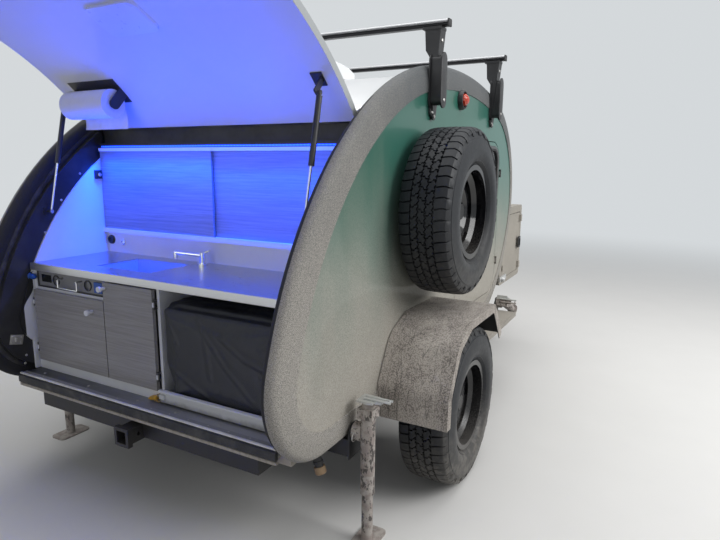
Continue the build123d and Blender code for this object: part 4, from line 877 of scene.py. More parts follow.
def tyre_mesh():
    """One whole tyre about its own centre, its axle along X."""
    mesh = bmesh.new()
    add_carcass(mesh)
    pitch = math.tau / PITCHES
    for i in range(PITCHES):
        for row, phase, hook in ROWS:
            add_centre_block(mesh, row, phase, hook, pitch * i)
        for side in (-1, 1):
            stations = LUG if (i + (side > 0)) % 2 else LUG[:5]
            add_lug(mesh, side, pitch * (i + LUG_SHIFT + 0.5 * (side > 0)), stations)
    return mesh


# %% [markdown]
# The rubber is one material for all three tyres.  Their meshes sit about their own
# centres, so the distance from the axle is a length of (y, z), and the dust can lie on
# the sidewall and in the grooves but leave the tops of the blocks dark.

# %% Rubber
def rubber(name, dust_low, dust_in_grooves):
    """Tyre rubber with more or less dust low on the sidewall and in the grooves."""
    material, shader, place = finish(name, (0.017, 0.017, 0.018), 0.6, Specular_IOR_Level=0.32)
    radius = place.vector("MULTIPLY", (0, 1, 1)).vector("LENGTH", out=1)
    deep = 1 - radius.ramp(0.352, 0.3625)
    tread_zone = radius.past(0.330, 0.008)
    low_side = (place.noise(7.0, 4.0) * 0.3 - place.axis(2)).ramp(0.05, 0.48)
    cake = place.noise(40.0, 5.0, 0.65).ramp(0.42, 0.66)
    lying = deep * tread_zone * dust_in_grooves + low_side * dust_low * (cake * 0.6 + 0.4)
    # The rubber's dark tones vary at random and lean blue: the blue is a painted cast of cool daylight.
    worn_and_blue_cast = place.noise(60.0, 3.0).blend((0.006, 0.007, 0.009), (0.016, 0.018, 0.023))
    put(shader, "Base Color", lying.blend(worn_and_blue_cast, (0.30, 0.275, 0.24)))
    mottle(shader, place, 50.0, 0.22, 0.38)
    raised_band = radius.between(0.286, 0.312, 0.002) * 0.148
    bump(shader, place.noise(150.0, 3.0) * 0.7 + raised_band, 0.3, 0.0010)
    return material


road_rubber = rubber("road_tyre_rubber", 0.50, 0.06)
spare_rubber = rubber("spare_tyre_rubber", 0.12, 0.0)

TYRES = (
    # piece, CAD node it replaces, body, centre, rubber
    ("tread_right", "tyre_right", "wheel_right", (1.0145, 0, TYRE_R), road_rubber),
    ("tread_left", "tyre_left", "wheel_left", (-1.0145, 0, TYRE_R), road_rubber),
    ("tread_spare", "spare_tyre", "trailer", (0.9845, 0.020, 1.248), spare_rubber),
)
for name, node, body, centre, coat in TYRES:
    tread = piece(name, tyre_mesh(), body, "tyre", coat, at=centre, bend=28)
    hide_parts(node)

# %% [markdown]
# ## The fridge cover
# A fridge stands on the slide-out tray under a fitted black cover.  Cloth made by hand
# looks like painted wood, so the cover starts as a remeshed box with a raised lid and is
# blown up a little by Blender's cloth solver, which rounds its panels and pulls at its
# corners.  No point may move further than a cap, so the cover still fits its tray.

# %% Cover body
def smooth_step(value, low, high):
    """0 up to low, 1 from high, and a smooth rise between them."""
    t = min(max((value - low) / (high - low), 0.0), 1.0)
    return t * t * (3 - 2 * t)


def cover_body():
    """The cover before it is sewn: a box and a slightly smaller lid."""
    mesh = bmesh.new()
    add_box(mesh, (0.101, -0.868, 0.502), (0.694, -0.486, 0.893), 0.022)
    add_box(mesh, (0.106, -0.838, 0.86), (0.689, -0.490, 0.912), 0.016)
    return mesh


def remesh(made, voxel):
    """Rebuild a mesh as an even net of quads."""
    modifier = made.modifiers.new("even_net", "REMESH")
    modifier.mode = "VOXEL"
    modifier.voxel_size = voxel
    bake(made)


def bake(made):
    """Apply every modifier by keeping the evaluated mesh."""
    graph = bpy.context.evaluated_depsgraph_get()
    fresh = bpy.data.meshes.new_from_object(made.evaluated_get(graph), depsgraph=graph)
    made.modifiers.clear()
    made.data = fresh


def swell(made, pressure, frames, most):
    """Blow cloth up with air for some frames, and cap how far any point may move."""
    start = [vert.co.copy() for vert in made.data.vertices]
    cloth = made.modifiers.new("air", "CLOTH").settings
    cloth.use_pressure = True
    cloth.uniform_pressure_force = pressure
    cloth.effector_weights.gravity = 0
    cloth.tension_stiffness = 12
    cloth.bending_stiffness = 0.6
    for number in range(1, frames + 1):
        bpy.context.scene.frame_set(number)
    bake(made)
    for vert, origin in zip(made.data.vertices, start):
        move = vert.co - origin
        if move.length > most:
            vert.co = origin + move.normalized() * most


# %% [markdown]
# A tight cover shows pulls: low ridges that run from its corners and straps.  The solver
# alone doesn't find them, because nothing pulls at this cloth.  So each pull is a line on
# the front, and every point near it is raised by a bell-shaped bump with a shallow
# hollow beside it.

# %% Pulls across the front of the cover
PULLS = (
    # from (x, z), to (x, z), height, width
    ((0.265, 0.900), (0.430, 0.700), 0.0050, 0.0070),
    ((0.430, 0.700), (0.560, 0.590), 0.0042, 0.0080),
    ((0.400, 0.820), (0.520, 0.745), 0.0045, 0.0075),
    ((0.520, 0.745), (0.685, 0.700), 0.0060, 0.0075),
    ((0.600, 0.690), (0.690, 0.662), 0.0050, 0.0065),
    ((0.105, 0.880), (0.190, 0.760), 0.0030, 0.0100),
    ((0.690, 0.870), (0.600, 0.800), 0.0030, 0.0120),
    ((0.320, 0.880), (0.360, 0.640), 0.0022, 0.0100),
    ((0.150, 0.640), (0.330, 0.560), 0.0035, 0.0110),
)
TRAY_TOP_Z = 0.4995
COVER_FRONT_Y = -0.8768                # the cover stays behind this at the tray
BULGE = 0.004                          # and may reach so much further above it


def bell(distance, wide):
    """A bump that is 1 at its middle and falls off over a width."""
    return math.exp(-((distance / wide) ** 2))


def pull_height(x, z):
    """How far the cover's front stands out at a point, from all its pulls."""
    total = 0.0
    for start, end, high, wide in PULLS:
        run = Vector(end) - Vector(start)
        off = Vector((x, z)) - Vector(start)
        along = min(max(off.dot(run) / run.length_squared, 0.0), 1.0)
        gap = (off - run * along).length
        total += 1.35 * high * (bell(gap, wide) - 0.45 * bell(gap, 2.6 * wide))
    return total


def press_pulls(made):
    """Raise the pulls, tuck in the lower left corner and keep the cover on its tray."""
    for vert in made.data.vertices:
        x, y, z = vert.co
        front = 1 - smooth_step(y, -0.868, -0.845)
        tuck = (1 - smooth_step(z, 0.56, 0.67)) * (1 - smooth_step(x, 0.10, 0.34))
        lid_roll = math.sin(x * 38.0) * math.sin(y * 31.0 + 1.0) * 0.0018
        vert.co.x += 0.032 * tuck * smooth_step(z, 0.495, 0.53)
        vert.co.y -= pull_height(x, z) * front
        vert.co.z += lid_roll * smooth_step(z, 0.85, 0.90)
        vert.co.z = max(vert.co.z, TRAY_TOP_Z)
        vert.co.y = max(vert.co.y, COVER_FRONT_Y - BULGE * smooth_step(z, 0.500, 0.503))


# %% [markdown]
# The cloth is a black nylon with a faint diagonal weave, its dark tones tinted blue: a painted
# cast of the galley's blue light.  The cover is remeshed, blown up, pressed, and then subdivided
# once, so that its pulls shade smoothly.

# %% Sew the cover
VOXEL = 0.0078

cover_cloth, shader, place = finish("black_cover_cloth", (0.008, 0.009, 0.013), 0.6)
threads = {"Vector": place, "Scale": 420.0, "Distortion": 0.6}
weave = place.node("TexWave", {"bands_direction": "DIAGONAL"}, threads)
# The cloth's blue tint is a painted cast of the galley's blue light.
put(shader, "Base Color", place.noise(4.0, 3.0).blend((0.005, 0.006, 0.010), (0.011, 0.013, 0.020)))
mottle(shader, place, 12.0, 0.22, 0.30, 4.0)
bump(shader, place.noise(16.0, 4.0, 0.55) * 0.9 + weave * 0.12, 0.45, 0.005)

cover = piece("fridge_cover", cover_body(), "tray", "cover_cloth", cover_cloth)
remesh(cover, VOXEL)
swell(cover, pressure=3.0, frames=18, most=0.007)
press_pulls(cover)
finer = cover.modifiers.new("finer", "SUBSURF")
finer.levels = finer.render_levels = 1
bake(cover)
cover.data.shade_smooth()
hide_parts("fridge")
print("fridge cover:", len(cover.data.polygons), "faces")

# %% [markdown]
# ## The paper roll
# The roll hangs in its holder under the open hatch.  A plain cylinder would look like a
# pipe.  Its end shows the wound layers, so its profile steps in and out by a hair from
# ring to ring, and the profile is turned once about the roll's axis.

# %% Roll
ROLL_AT = (-0.650, 1.705)              # y and z of its axis
ROLL_ENDS = (-0.650, -0.362)
ROLL_OUT = 0.0618
ROLL_CORE = 0.0205
LAYERS = 26

paper, shader, place = finish("soft_paper", (0.84, 0.85, 0.87), 0.92)
quilt = place.node("TexVoronoi", {}, {"Vector": place, "Scale": 190.0})
bump(shader, quilt, 0.25, 0.0008)
put(shader, "Base Color", place.noise(40.0, 3.0).blend((0.80, 0.81, 0.83), (0.87, 0.88, 0.89)))

rng = random.Random(11)
length = ROLL_ENDS[1] - ROLL_ENDS[0]
near = []
for i in range(LAYERS + 1):
    radius = ROLL_CORE + (ROLL_OUT - ROLL_CORE) * i / LAYERS
    near.append((radius, rng.uniform(0.0, 0.0009) + (0.0007 if i % 2 else 0.0)))
skin = [(ROLL_OUT + 0.0003, length * k / 6) for k in range(1, 6)]
far = [(radius, length - depth) for radius, depth in reversed(near)]
mesh = bmesh.new()
add_turned(mesh, facing((ROLL_ENDS[0], *ROLL_AT), (1, 0, 0)), near + skin + far, 72, closed=True)
roll = piece("paper_roll_wound", mesh, "hatch", "paper", paper, bend=60)
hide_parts("paper_roll")

# %% [markdown]
# The last turn of the paper hangs down as a sheet of one thickness, cut straight at the
# bottom.  Its line leaves the top of the roll, follows it for a third of a turn and drops
# with a slight belly.  A grid of that line, with a small ripple along X, is enough: a
# cloth solver would add little to a sheet this short.

# %% The free end of the paper
SHEET_WIDE = 0.286
SHEET_DROP = 0.105
WRAP_RADIUS = ROLL_OUT + 0.0009
WRAP_DEGREES = 112
WRAP_STEPS = 16
DROP_STEPS = 18
COLUMNS = 40

sheet_line = []
for i in range(WRAP_STEPS + 1):
    a = math.radians(WRAP_DEGREES * (1 - i / WRAP_STEPS))
    sheet_line.append((WRAP_RADIUS * math.cos(a), WRAP_RADIUS * math.sin(a)))
for i in range(1, DROP_STEPS + 1):
    t = i / DROP_STEPS
    sheet_line.append((WRAP_RADIUS + 0.010 * math.sin(math.pi * t) * t + 0.006 * t * t, -SHEET_DROP * t))


def ripple(x, k):
    """How far the sheet waves at a point, growing from the roll down to its cut."""
    hang = max(0, k - WRAP_STEPS) / DROP_STEPS
    return hang * (0.0035 * math.sin(x * 52 + 0.6) + 0.0015 * math.sin(x * 131))


mesh = bmesh.new()
grid = []
for i in range(COLUMNS + 1):
    x = ROLL_ENDS[0] + 0.001 + SHEET_WIDE * i / COLUMNS
    column = [(x, ROLL_AT[0] + out + ripple(x, k), ROLL_AT[1] + up) for k, (out, up) in enumerate(sheet_line)]
    grid.append([mesh.verts.new(point) for point in column])
for one, two in zip(grid, grid[1:]):
    for k in range(len(sheet_line) - 1):
        mesh.faces.new((one[k], two[k], two[k + 1], one[k + 1]))
loose_sheet = piece("paper_loose_end", mesh, "hatch", "paper", paper, bend=80)

# %% [markdown]
# ## Helpers for the trims
# Most trims come in pairs, one on each side of the trailer, or run straight across it.
# Three helpers say so: a box between two distances |x| on one side, a turned form that
# stands out from that side's wall, and a strip along X with a section of its own.  Each
# calls a builder from above, so the trims stay one line long.

# %% Pairs and strips
def add_side_box(mesh, side, reach, low, high, edge, turn=None):
    """A box between two |x| on one side; low and high are its (y, z) corners."""
    x_low, x_high = sorted(side * x for x in reach)
    add_box(mesh, (x_low, *low), (x_high, *high), edge, turn)


def add_outward(mesh, side, at, profile, steps, coat=0, closed=False):
    """A turned form that stands out from one side's wall, at (|x|, y, z)."""
    x, y, z = at
    add_turned(mesh, facing((side * x, y, z), (side, 0, 0)), profile, steps, coat, closed)


def add_strip(mesh, x_ends, y, z, section):
    """A strip along X; its section is a loop of (up, rearward) pairs."""
    path = [Vector((x, y, z)) for x in x_ends]
    add_swept(mesh, path, section, side=Vector((0, 0, 1)))


# %% [markdown]
# ## Seals of the galley opening
# A black bulb seal runs round the opening on each rim, from the hinge down to the sill.
# It follows the side outline, which is two arcs here, so a bulb-shaped section is swept
# along them.

# %% Opening seals
SEAL = (0.0520, 0.0770)                # inset of the seal's two edges from the outline
SEAL_X = 0.770
SEAL_TURN = (124.2, 243.5)             # degrees of the outline that it covers

mesh = bmesh.new()
middle = (SEAL[0] + SEAL[1]) / 2
half = (SEAL[1] - SEAL[0]) / 2
for side in (-1, 1):
    path = outline_points(side * SEAL_X, middle, *SEAL_TURN)
    bulb = [(0.0, -half), (-0.0035, -half + 0.001), (-0.0055, -half * 0.45), (-0.0060, 0.0),
            (-0.0055, half * 0.45), (-0.0035, half - 0.001), (0.0, half)]
    add_swept(mesh, path, [(side * u, v) for u, v in bulb])
piece("opening_seals", mesh, "trailer", "dark_plastic", seal_rubber)

# %% [markdown]
# Domed rivets hold the jamb boards beside the seal, and near the sill each jamb has a
# striker plate for the hatch's lock, on four rivets of its own.  They are solid heads,
# not a bump map, because the light of the galley catches them from the side.

# %% Jamb rivets and strikers
RIVETS = (
    # y, z of the rivets in the black jamb
    (-0.568, 1.394), (-0.678, 1.269), (-0.774, 1.122), (-0.899, 0.824), (-0.921, 0.560), (-0.930, 0.523),
)
STRIKER_AT = Vector((0, -0.959, 0.6455))
STRIKER_LEAN = Matrix.Rotation(math.radians(-14), 3, "X")

mesh = bmesh.new()
for side in (-1, 1):
    for y, z in RIVETS:
        add_turned(mesh, facing((side * 0.745, y, z), (-side, 0, 0)), dome(0.0062, 0.0026), 14)
    add_side_box(mesh, side, (0.7420, 0.7450), (-0.989, 0.623), (-0.929, 0.668), 0.0008, STRIKER_LEAN)
    for dy, dz in ((-0.021, -0.013), (-0.021, 0.013), (0.021, -0.013), (0.021, 0.013)):
        spot = STRIKER_AT + STRIKER_LEAN @ Vector((0, dy, dz))
        spot.x = side * 0.742
        add_turned(mesh, facing(spot, (-side, 0, 0)), dome(0.0042, 0.0018), 10)
    add_side_box(mesh, side, (0.7375, 0.7455), (-0.966, 0.636), (-0.951, 0.655), 0.002, STRIKER_LEAN)
piece("jamb_rivets_and_strikers", mesh, "trailer", "zinc", zinc)

# %% [markdown]
# White stiles close the joint between the cabinet and the jambs, just above the sill.

# %% Stiles
mesh = bmesh.new()
for side in (-1, 1):
    add_side_box(mesh, side, (0.7346, 0.7454), (-0.8860, 0.487), (-0.8520, 0.640), 0.0012)
piece("cabinet_stiles", mesh, "trailer", "white_board", white_board)

# %% [markdown]
# ## The sill
# Under the galley doors the sill is a sandwich of strips: a dark rubber buffer for the
# hatch to close on, a thin pale line above it, and a dusty edge of the floor below.
# Strips this long look alive only when they are not perfectly even, so each has an eased
# section and a finish with scuffs.

# %% Sill strips
SILL_ENDS = (-0.734, 0.734)
BUFFER = ((-0.0185, -0.0035), (-0.0200, 0.0), (-0.0160, 0.0060), (0.0, 0.0078),
          (0.0150, 0.0060), (0.0175, 0.0), (0.0165, -0.0035))

pale_strip, shader, place = finish("pale_edge_strip", (0.55, 0.56, 0.55), 0.45)
pale_tone = place.clouds(18.0, 4.0, 0.3, 0.8, (0.86, 0.86, 0.85), (0.62, 0.60, 0.56))
put(shader, "Base Color", pale_tone)
edge_dust, shader, place = finish("dusty_floor_edge", DUST, 0.9)
dust_tone = place.noise(60.0, 4.0, 0.6).ramp(0.2, 0.7).blend((0.32, 0.29, 0.25), (0.48, 0.44, 0.385))
put(shader, "Base Color", dust_tone)
bump(shader, place.noise(160.0, 3.0), 0.4, 0.001)

mesh = bmesh.new()
add_strip(mesh, SILL_ENDS, -0.9665, 0.4655, BUFFER)
piece("sill_buffer", mesh, "trailer", "dark_plastic", seal_rubber)
mesh = bmesh.new()
add_box(mesh, (SILL_ENDS[0], -0.9655, 0.4855), (SILL_ENDS[1], -0.9560, 0.4925), 0.0016)
piece("sill_pale_line", mesh, "trailer", "aluminium_trim", pale_strip)
mesh = bmesh.new()
add_box(mesh, (SILL_ENDS[0], -0.9700, 0.4320), (SILL_ENDS[1], -0.9545, 0.4450), 0.003)
piece("sill_lower_edge", mesh, "trailer", "grey_board", edge_dust)

# %% [markdown]
# Six large screws hold the shelf and a row of small ones its lip.  Screw heads are domes
# of a few rings, and a loop spaces the row.

# %% Sill screws
SHELF_SCREWS = (
    # x, y
    (-0.640, -0.905), (-0.330, -0.905), (-0.020, -0.905), (0.205, -0.913), (0.660, -0.913), (0.430, -0.913),
)
LIP_SCREWS = 15
LIP_SPACING = 0.1

mesh = bmesh.new()
for x, y in SHELF_SCREWS:
    add_turned(mesh, facing((x, y, 0.485), (0, 0, 1)), dome(0.0056, 0.0024), 12)
for k in range(LIP_SCREWS):
    x = LIP_SPACING * (k - (LIP_SCREWS - 1) / 2)
    add_turned(mesh, facing((x, -0.9390, 0.489), (0, 0, 1)), dome(0.0036, 0.0016), 10)
piece("sill_screws", mesh, "trailer", "zinc", zinc)

# %% [markdown]
# ## Counter edge, sockets and small fittings
# The steel worktop is framed at the front by an aluminium nosing, a thin bent strip that
# laps over the edge.  Its section is drawn once and carried across the galley.

# %% Counter nosing
NOSING = ((-0.0150, 0.0), (-0.0150, 0.0030), (0.0135, 0.0030), (0.0165, 0.0008),
          (0.0165, -0.0140), (0.0152, -0.0140), (0.0152, 0.0))
mesh = bmesh.new()
add_strip(mesh, (-0.7345, 0.7345), -0.8652, 0.9750, NOSING)
piece("counter_nosing", mesh, "trailer", "aluminium_trim", brushed)

# %% [markdown]
# On the bulkhead behind the counter sit two sockets, on the liner a black latch with a
# chromed button, and beside the control panel a blue plug.  Each is a profile turned about
# its own axis, and the coat number says which of the piece's materials it wears.

# %% Sockets, latch and plug
DARK, CHROME, BLUE = 0, 1, 2
SOCKET = ((0.0235, 0.0), (0.0225, 0.008), (0.020, 0.011), (0.012, 0.011), (0.011, 0.006), (0.0, 0.006))
SMALL_SOCKET = ((0.015, 0), (0.015, 0.004), (0.009, 0.006), (0.008, 0.002), (0, 0.002))
LATCH_BUTTON = ((0.010, 0), (0.010, 0.008), (0.007, 0.011), (0, 0.011))
PLUG = ((0.017, 0), (0.017, 0.006), (0.013, 0.008), (0.013, 0.030),
        (0.009, 0.036), (0.006, 0.044), (0, 0.045))

blue_plug, shader, place = finish("blue_plug_shell", (0.02, 0.10, 0.45), 0.35)
mottle(shader, place, 60.0, 0.2, 0.3)

mesh = bmesh.new()
add_turned(mesh, facing((-0.706, -0.4402, 1.055), (0, -1, 0)), SOCKET, 28, DARK)
add_turned(mesh, facing((-0.619, -0.4402, 1.046), (0, -1, 0)), SMALL_SOCKET, 24, CHROME)
add_box(mesh, (-0.7350, -0.497, 1.366), (-0.7225, -0.458, 1.410), 0.003)
add_turned(mesh, facing((-0.7225, -0.478, 1.388), (1, 0, 0)), LATCH_BUTTON, 18, CHROME)
add_turned(mesh, facing((-0.7445, -0.862, 0.928), (1, -0.15, 0)), PLUG, 20, BLUE)
piece("sockets_and_latch", mesh, "trailer", "dark_plastic", black_plastic, chrome, blue_plug)

# %% [markdown]
# A yellow toggle latch holds the tray at its left end.  Its lever leans, so its two boxes
# are turned about the trailer's Y axis, and a bent wire links it to the zinc keeper.

# %% Toggle latch of the tray
YELLOW, ZINC = 0, 1
LEVER_LEAN = Matrix.Rotation(math.radians(-12), 3, "Y")
LINK = (Vector((0.070, -0.877, 0.507)), Vector((0.074, -0.877, 0.516)), Vector((0.080, -0.877, 0.520)))

yellow_coat, shader, place = finish("yellow_latch_coat", (0.62, 0.33, 0.02), 0.45)
yellow_tone = place.clouds(70.0, 3.0, 0.4, 0.8, (0.66, 0.36, 0.02), (0.36, 0.22, 0.06))
put(shader, "Base Color", yellow_tone)

mesh = bmesh.new()
add_box(mesh, (0.052, -0.8825, 0.489), (0.082, -0.8560, 0.4925), 0.001, coat=ZINC)
add_box(mesh, (0.066, -0.8825, 0.4925), (0.070, -0.8560, 0.520), 0.001, coat=ZINC)
add_box(mesh, (0.030, -0.8895, 0.4960), (0.072, -0.8640, 0.5105), 0.004, LEVER_LEAN, YELLOW)
add_box(mesh, (0.022, -0.8865, 0.4935), (0.042, -0.8680, 0.5005), 0.003, LEVER_LEAN, YELLOW)
add_swept(mesh, LINK, round_section(0.0022), side=Vector((0, 1, 0)), coat=ZINC)
piece("tray_latch", mesh, "trailer", "zinc", yellow_coat, zinc)

# %% [markdown]
# The tray's front edge ends in a folded flange, which is the bright line that one sees
# under the fridge.

# %% Tray flange
FLANGE = ((-0.0045, 0.0), (-0.0045, 0.0070), (-0.0015, 0.0105), (0.0035, 0.0105),
          (0.0055, 0.0070), (0.0055, -0.0060), (0.0042, -0.0060), (0.0042, 0.0))
mesh = bmesh.new()
add_strip(mesh, (0.0895, 0.7055), -0.8825, 0.5420, FLANGE)
piece("tray_flange", mesh, "tray", "aluminium_trim", tray_white)

# %% [markdown]
# ## Windows and wall fittings
# Each door window sits in a wide black rubber, seen from the side as a dark rounded
# frame.  Its lip is swept round a rounded rectangle.  The two rubbers are pieces of their
# own, because each moves with its door.

# %% Window rubbers
WALL_X = 0.8425                        # |x| of the wall's outer face
WINDOW = (0.760, 1.250, 1.210, 1.550)  # y from and to, z from and to
RUBBER_LIP = ((-0.0070, -0.012), (0.0018, -0.012), (0.0042, -0.004), (0.0042, 0.006),
              (0.0016, 0.016), (-0.0004, 0.016), (-0.0004, 0.001), (-0.0070, 0.001))
SIDES = ((1, "right"), (-1, "left"))


def rounded_loop(x, y0, y1, z0, z1, corner, steps=7):
    """A closed rounded rectangle in the plane of the wall."""
    loop = []
    y0, y1, z0, z1 = y0 + corner, y1 - corner, z0 + corner, z1 - corner
    for y, z, start in ((y1, z1, 0), (y0, z1, 90), (y0, z0, 180), (y1, z0, 270)):
        for k in range(steps + 1):
            a = math.radians(start + 90 * k / steps)
            loop.append(Vector((x, y + corner * math.cos(a), z + corner * math.sin(a))))
    return loop


for side, hand in SIDES:
    mesh = bmesh.new()
    loop = rounded_loop(side * WALL_X, *WINDOW, 0.090)
    add_swept(mesh, loop, [(side * u, v) for u, v in RUBBER_LIP], closed=True)
    piece(f"window_rubber_{hand}", mesh, f"cabin_door_{hand}_body", "dark_plastic", seal_rubber)

# %% [markdown]
# Ahead of each door a catch on the wall holds it open: a bright plate with a round knob
# and two screws.

# %% Door catches
KNOB = ((0.017, 0), (0.017, 0.016), (0.012, 0.024), (0, 0.025))
CATCH_Z = 0.670

bright_zinc, shader, place = finish("bright_catch_plate", (0.62, 0.62, 0.61), 0.3, 0.6)
mottle(shader, place, 50.0, 0.25, 0.2)

mesh = bmesh.new()
for side in (-1, 1):
    add_side_box(mesh, side, (WALL_X - 0.002, WALL_X + 0.010), (1.430, 0.652), (1.590, 0.688), 0.002)
    add_outward(mesh, side, (WALL_X + 0.009, 1.462, CATCH_Z), KNOB, 20)
    for y in (1.520, 1.565):
        add_outward(mesh, side, (WALL_X + 0.009, y, CATCH_Z), dome(0.006, 0.003), 12, CHROME)
piece("door_catches", mesh, "trailer", "zinc", bright_zinc, chrome)

# %% [markdown]
# The sink drains through a stub that leans out under the floor, with a tan cap on its
# end.  Both are turned about the same leaning axis.

# %% Drain stub
STUB = ((0.0165, 0.0), (0.0165, 0.100), (0.0200, 0.102), (0.0200, 0.112), (0.0165, 0.114), (0.0165, 0.140))
STUB_CAP = ((0.0225, -0.014), (0.0225, 0.012), (0.0190, 0.016), (0, 0.016))
STUB_LEAN = (0.30, 0, -0.95)

tan_cap, shader, place = finish("tan_cap", (0.40, 0.26, 0.14), 0.6)
put(shader, "Base Color", place.noise(60.0, 3.0).blend((0.42, 0.28, 0.16), (0.26, 0.18, 0.11)))

mesh = bmesh.new()
add_turned(mesh, facing((0.700, -0.700, 0.4185), STUB_LEAN), STUB, 22)
add_turned(mesh, facing((0.7415, -0.700, 0.2870), STUB_LEAN), STUB_CAP, 22, coat=1)
piece("drain_stub", mesh, "trailer", "dark_plastic", seal_rubber, tan_cap)

# %% [markdown]
# ## The roof rack
# Each tower clamps to the wall through a hexagon bolt and to the bar through a round one.
# The hexagon is a turned form with six steps.

# %% Tower bolts
HEX_BOLT = ((0.0125, 0), (0.0125, 0.0022), (0.0085, 0.0024), (0.0085, 0.0075), (0.0070, 0.0090), (0, 0.0090))
BAR_YS = (0.085, 1.030)
HEX_BOLT_ZS = (1.666, 1.686)

mesh = bmesh.new()
for side in (-1, 1):
    for y, z in zip(BAR_YS, HEX_BOLT_ZS):
        add_outward(mesh, side, (0.8515, y, z), HEX_BOLT, 6)
    for y in BAR_YS:
        add_turned(mesh, facing((side * 0.8850, y, 1.990), (side, 0, 0.15)), dome(0.0090, 0.0045), 16)
piece("tower_bolts", mesh, "trailer", "zinc", zinc)

# %% [markdown]
# A shoe of stacked slabs carries each tower on the wall.  Every slab is a stadium: two
# straight sides and two round ends, here a list of points that a helper carries from one
# |x| to another and draws in at its outer edge.

# %% Shoes of the rack towers
SHOE_SLABS = (
    # half width in y, low and high z, inner and outer |x|
    (0.0330, 1.698, 1.935, 0.8440, 0.8520),
    (0.0220, 1.712, 1.925, 0.8500, 0.9000),
    (0.0340, 1.700, 1.938, 0.8980, 0.9070),
    (0.0210, 1.664, 1.712, 0.8430, 0.8540),
)
SHOES = ((0.072, 0.0), (1.026, 0.012))             # y, and how much higher it sits
SLAB_EASE = 0.002


def stadium(half, low, high, steps=10):
    """A (y, z) outline with straight sides and round ends."""
    bends = [(high - half, 0.0), (low + half, math.pi)]
    return [(half * math.cos(a + math.pi * k / steps), z + half * math.sin(a + math.pi * k / steps))
            for z, a in bends for k in range(steps + 1)]


def add_slab(mesh, side, outline, x_in, x_out):
    """A (y, z) outline carried from one |x| to another, its outer edge eased."""
    middle = sum((Vector(p) for p in outline), Vector((0, 0))) / len(outline)
    loops = []
    for x, shrink in ((x_in, 1.0), (x_out - SLAB_EASE, 1.0), (x_out, 0.88)):
        loops.append([Vector((side * x, *(middle + (Vector(p) - middle) * shrink))) for p in outline])
    rings = add_loops(mesh, loops)
    mesh.faces.new(rings[0])


mesh = bmesh.new()
for side in (-1, 1):
    for y, lift in SHOES:
        for half, low, high, x_in, x_out in SHOE_SLABS:
            outline = [(y + u, v + lift) for u, v in stadium(half, low, high)]
            add_slab(mesh, side, outline, x_in, x_out)
        add_outward(mesh, side, (0.9065, y, 1.735 + lift), dome(0.0080, 0.0040), 14, 1)
        add_outward(mesh, side, (0.8535, y - 0.004, 1.683 + lift), dome(0.0085, 0.0060), 14, 1)
piece("tower_shoes", mesh, "trailer", "dark_plastic", black_plastic, zinc)

# %% [markdown]
# Between the two towers the marker lamp sits in a black bezel, a ring with a raised lip.
# Its profile is closed before it is turned, which leaves the middle open for the lens.

# %% Bezels of the marker lamps
BEZEL = ((0.0385, 0.0), (0.0385, 0.020), (0.0400, 0.024), (0.0440, 0.023), (0.0490, 0.012), (0.0500, 0.0))
mesh = bmesh.new()
for side in (-1, 1):
    add_outward(mesh, side, (0.8428, 0.486, 1.777), BEZEL, 32, closed=True)
piece("lamp_bezels", mesh, "trailer", "dark_plastic", black_plastic)

# %% [markdown]
# The bars are aluminium with a rubber strip in their top slot and a rubber cap on each
# end.

# %% Slot strips and end caps of the bars
CAP_REACH = (0.9135, 0.9195)
mesh = bmesh.new()
for y in BAR_YS:
    add_box(mesh, (-0.912, y - 0.0065, 2.0735), (0.912, y + 0.0065, 2.0765), 0.0012)
    for side in (-1, 1):
        add_side_box(mesh, side, CAP_REACH, (y - 0.0215, 2.0442), (y + 0.0215, 2.0760), 0.0055)
piece("bar_slots_and_caps", mesh, "trailer", "dark_plastic", seal_rubber)

# %% [markdown]
# ## Jack pins and box latches
# Each rear jack is locked by a pin with a pull ring, a thin wire swept round a circle.

# %% Ring pins of the jacks
RING_AT = (0.868, -0.660, 0.437)       # |x|, y, z of the ring's middle
RING_RADIUS = 0.017
PIN = ((0.0060, 0), (0.0060, 0.020), (0.0045, 0.023), (0, 0.023))

mesh = bmesh.new()
for side in (-1, 1):
    centre = Vector((side * RING_AT[0], *RING_AT[1:]))
    loop = [centre + Vector((0, u, v)) for u, v in round_section(RING_RADIUS, 22)]
    add_swept(mesh, loop, round_section(0.0020, 8), closed=True)
    add_outward(mesh, side, (0.8570, -0.660, 0.4555), PIN, 14)
piece("jack_ring_pins", mesh, "trailer", "zinc", zinc)

# %% [markdown]
# The tongue box's doors close with a paddle latch: a plate, a paddle on it and the ring
# of the lock.  Again each latch moves with its own door.

# %% Tongue box latches
LOCK_RING = ((0.007, 0), (0.007, 0.003), (0.003, 0.003), (0.0028, 0.001), (0, 0.001))
for side, hand in SIDES:
    mesh = bmesh.new()
    add_side_box(mesh, side, (0.779, 0.787), (2.196, 0.795), (2.262, 0.885), 0.003)
    add_side_box(mesh, side, (0.786, 0.794), (2.220, 0.812), (2.238, 0.868), 0.004)
    add_outward(mesh, side, (0.786, 2.229, 0.806), LOCK_RING, 16)
    piece(f"box_latch_{hand}", mesh, f"box_door_{hand}_body", "dark_plastic", black_plastic)

# %% [markdown]
# ## Lamps
# Blender's area lamp is a glowing rectangle, which gives the soft edges of shadows that
# this studio needs.  One function makes them all: the large white ones and the blue ones.

# %% Area lamps
def area_lamp(name, at, aim, size, power):
    """An area lamp of size (width, depth) that looks at a point."""
    light = bpy.data.lights.new(name, "AREA")
    light.shape = "RECTANGLE"
    light.size, light.size_y = size
    light.energy = power
    lamp = bpy.data.objects.new(name, light)
    bpy.context.collection.objects.link(lamp)
    lamp.location = at
    lamp.rotation_euler = (Vector(aim) - Vector(at)).to_track_quat("-Z", "Y").to_euler()
    print(name, "shines with", power, "W")
    return lamp


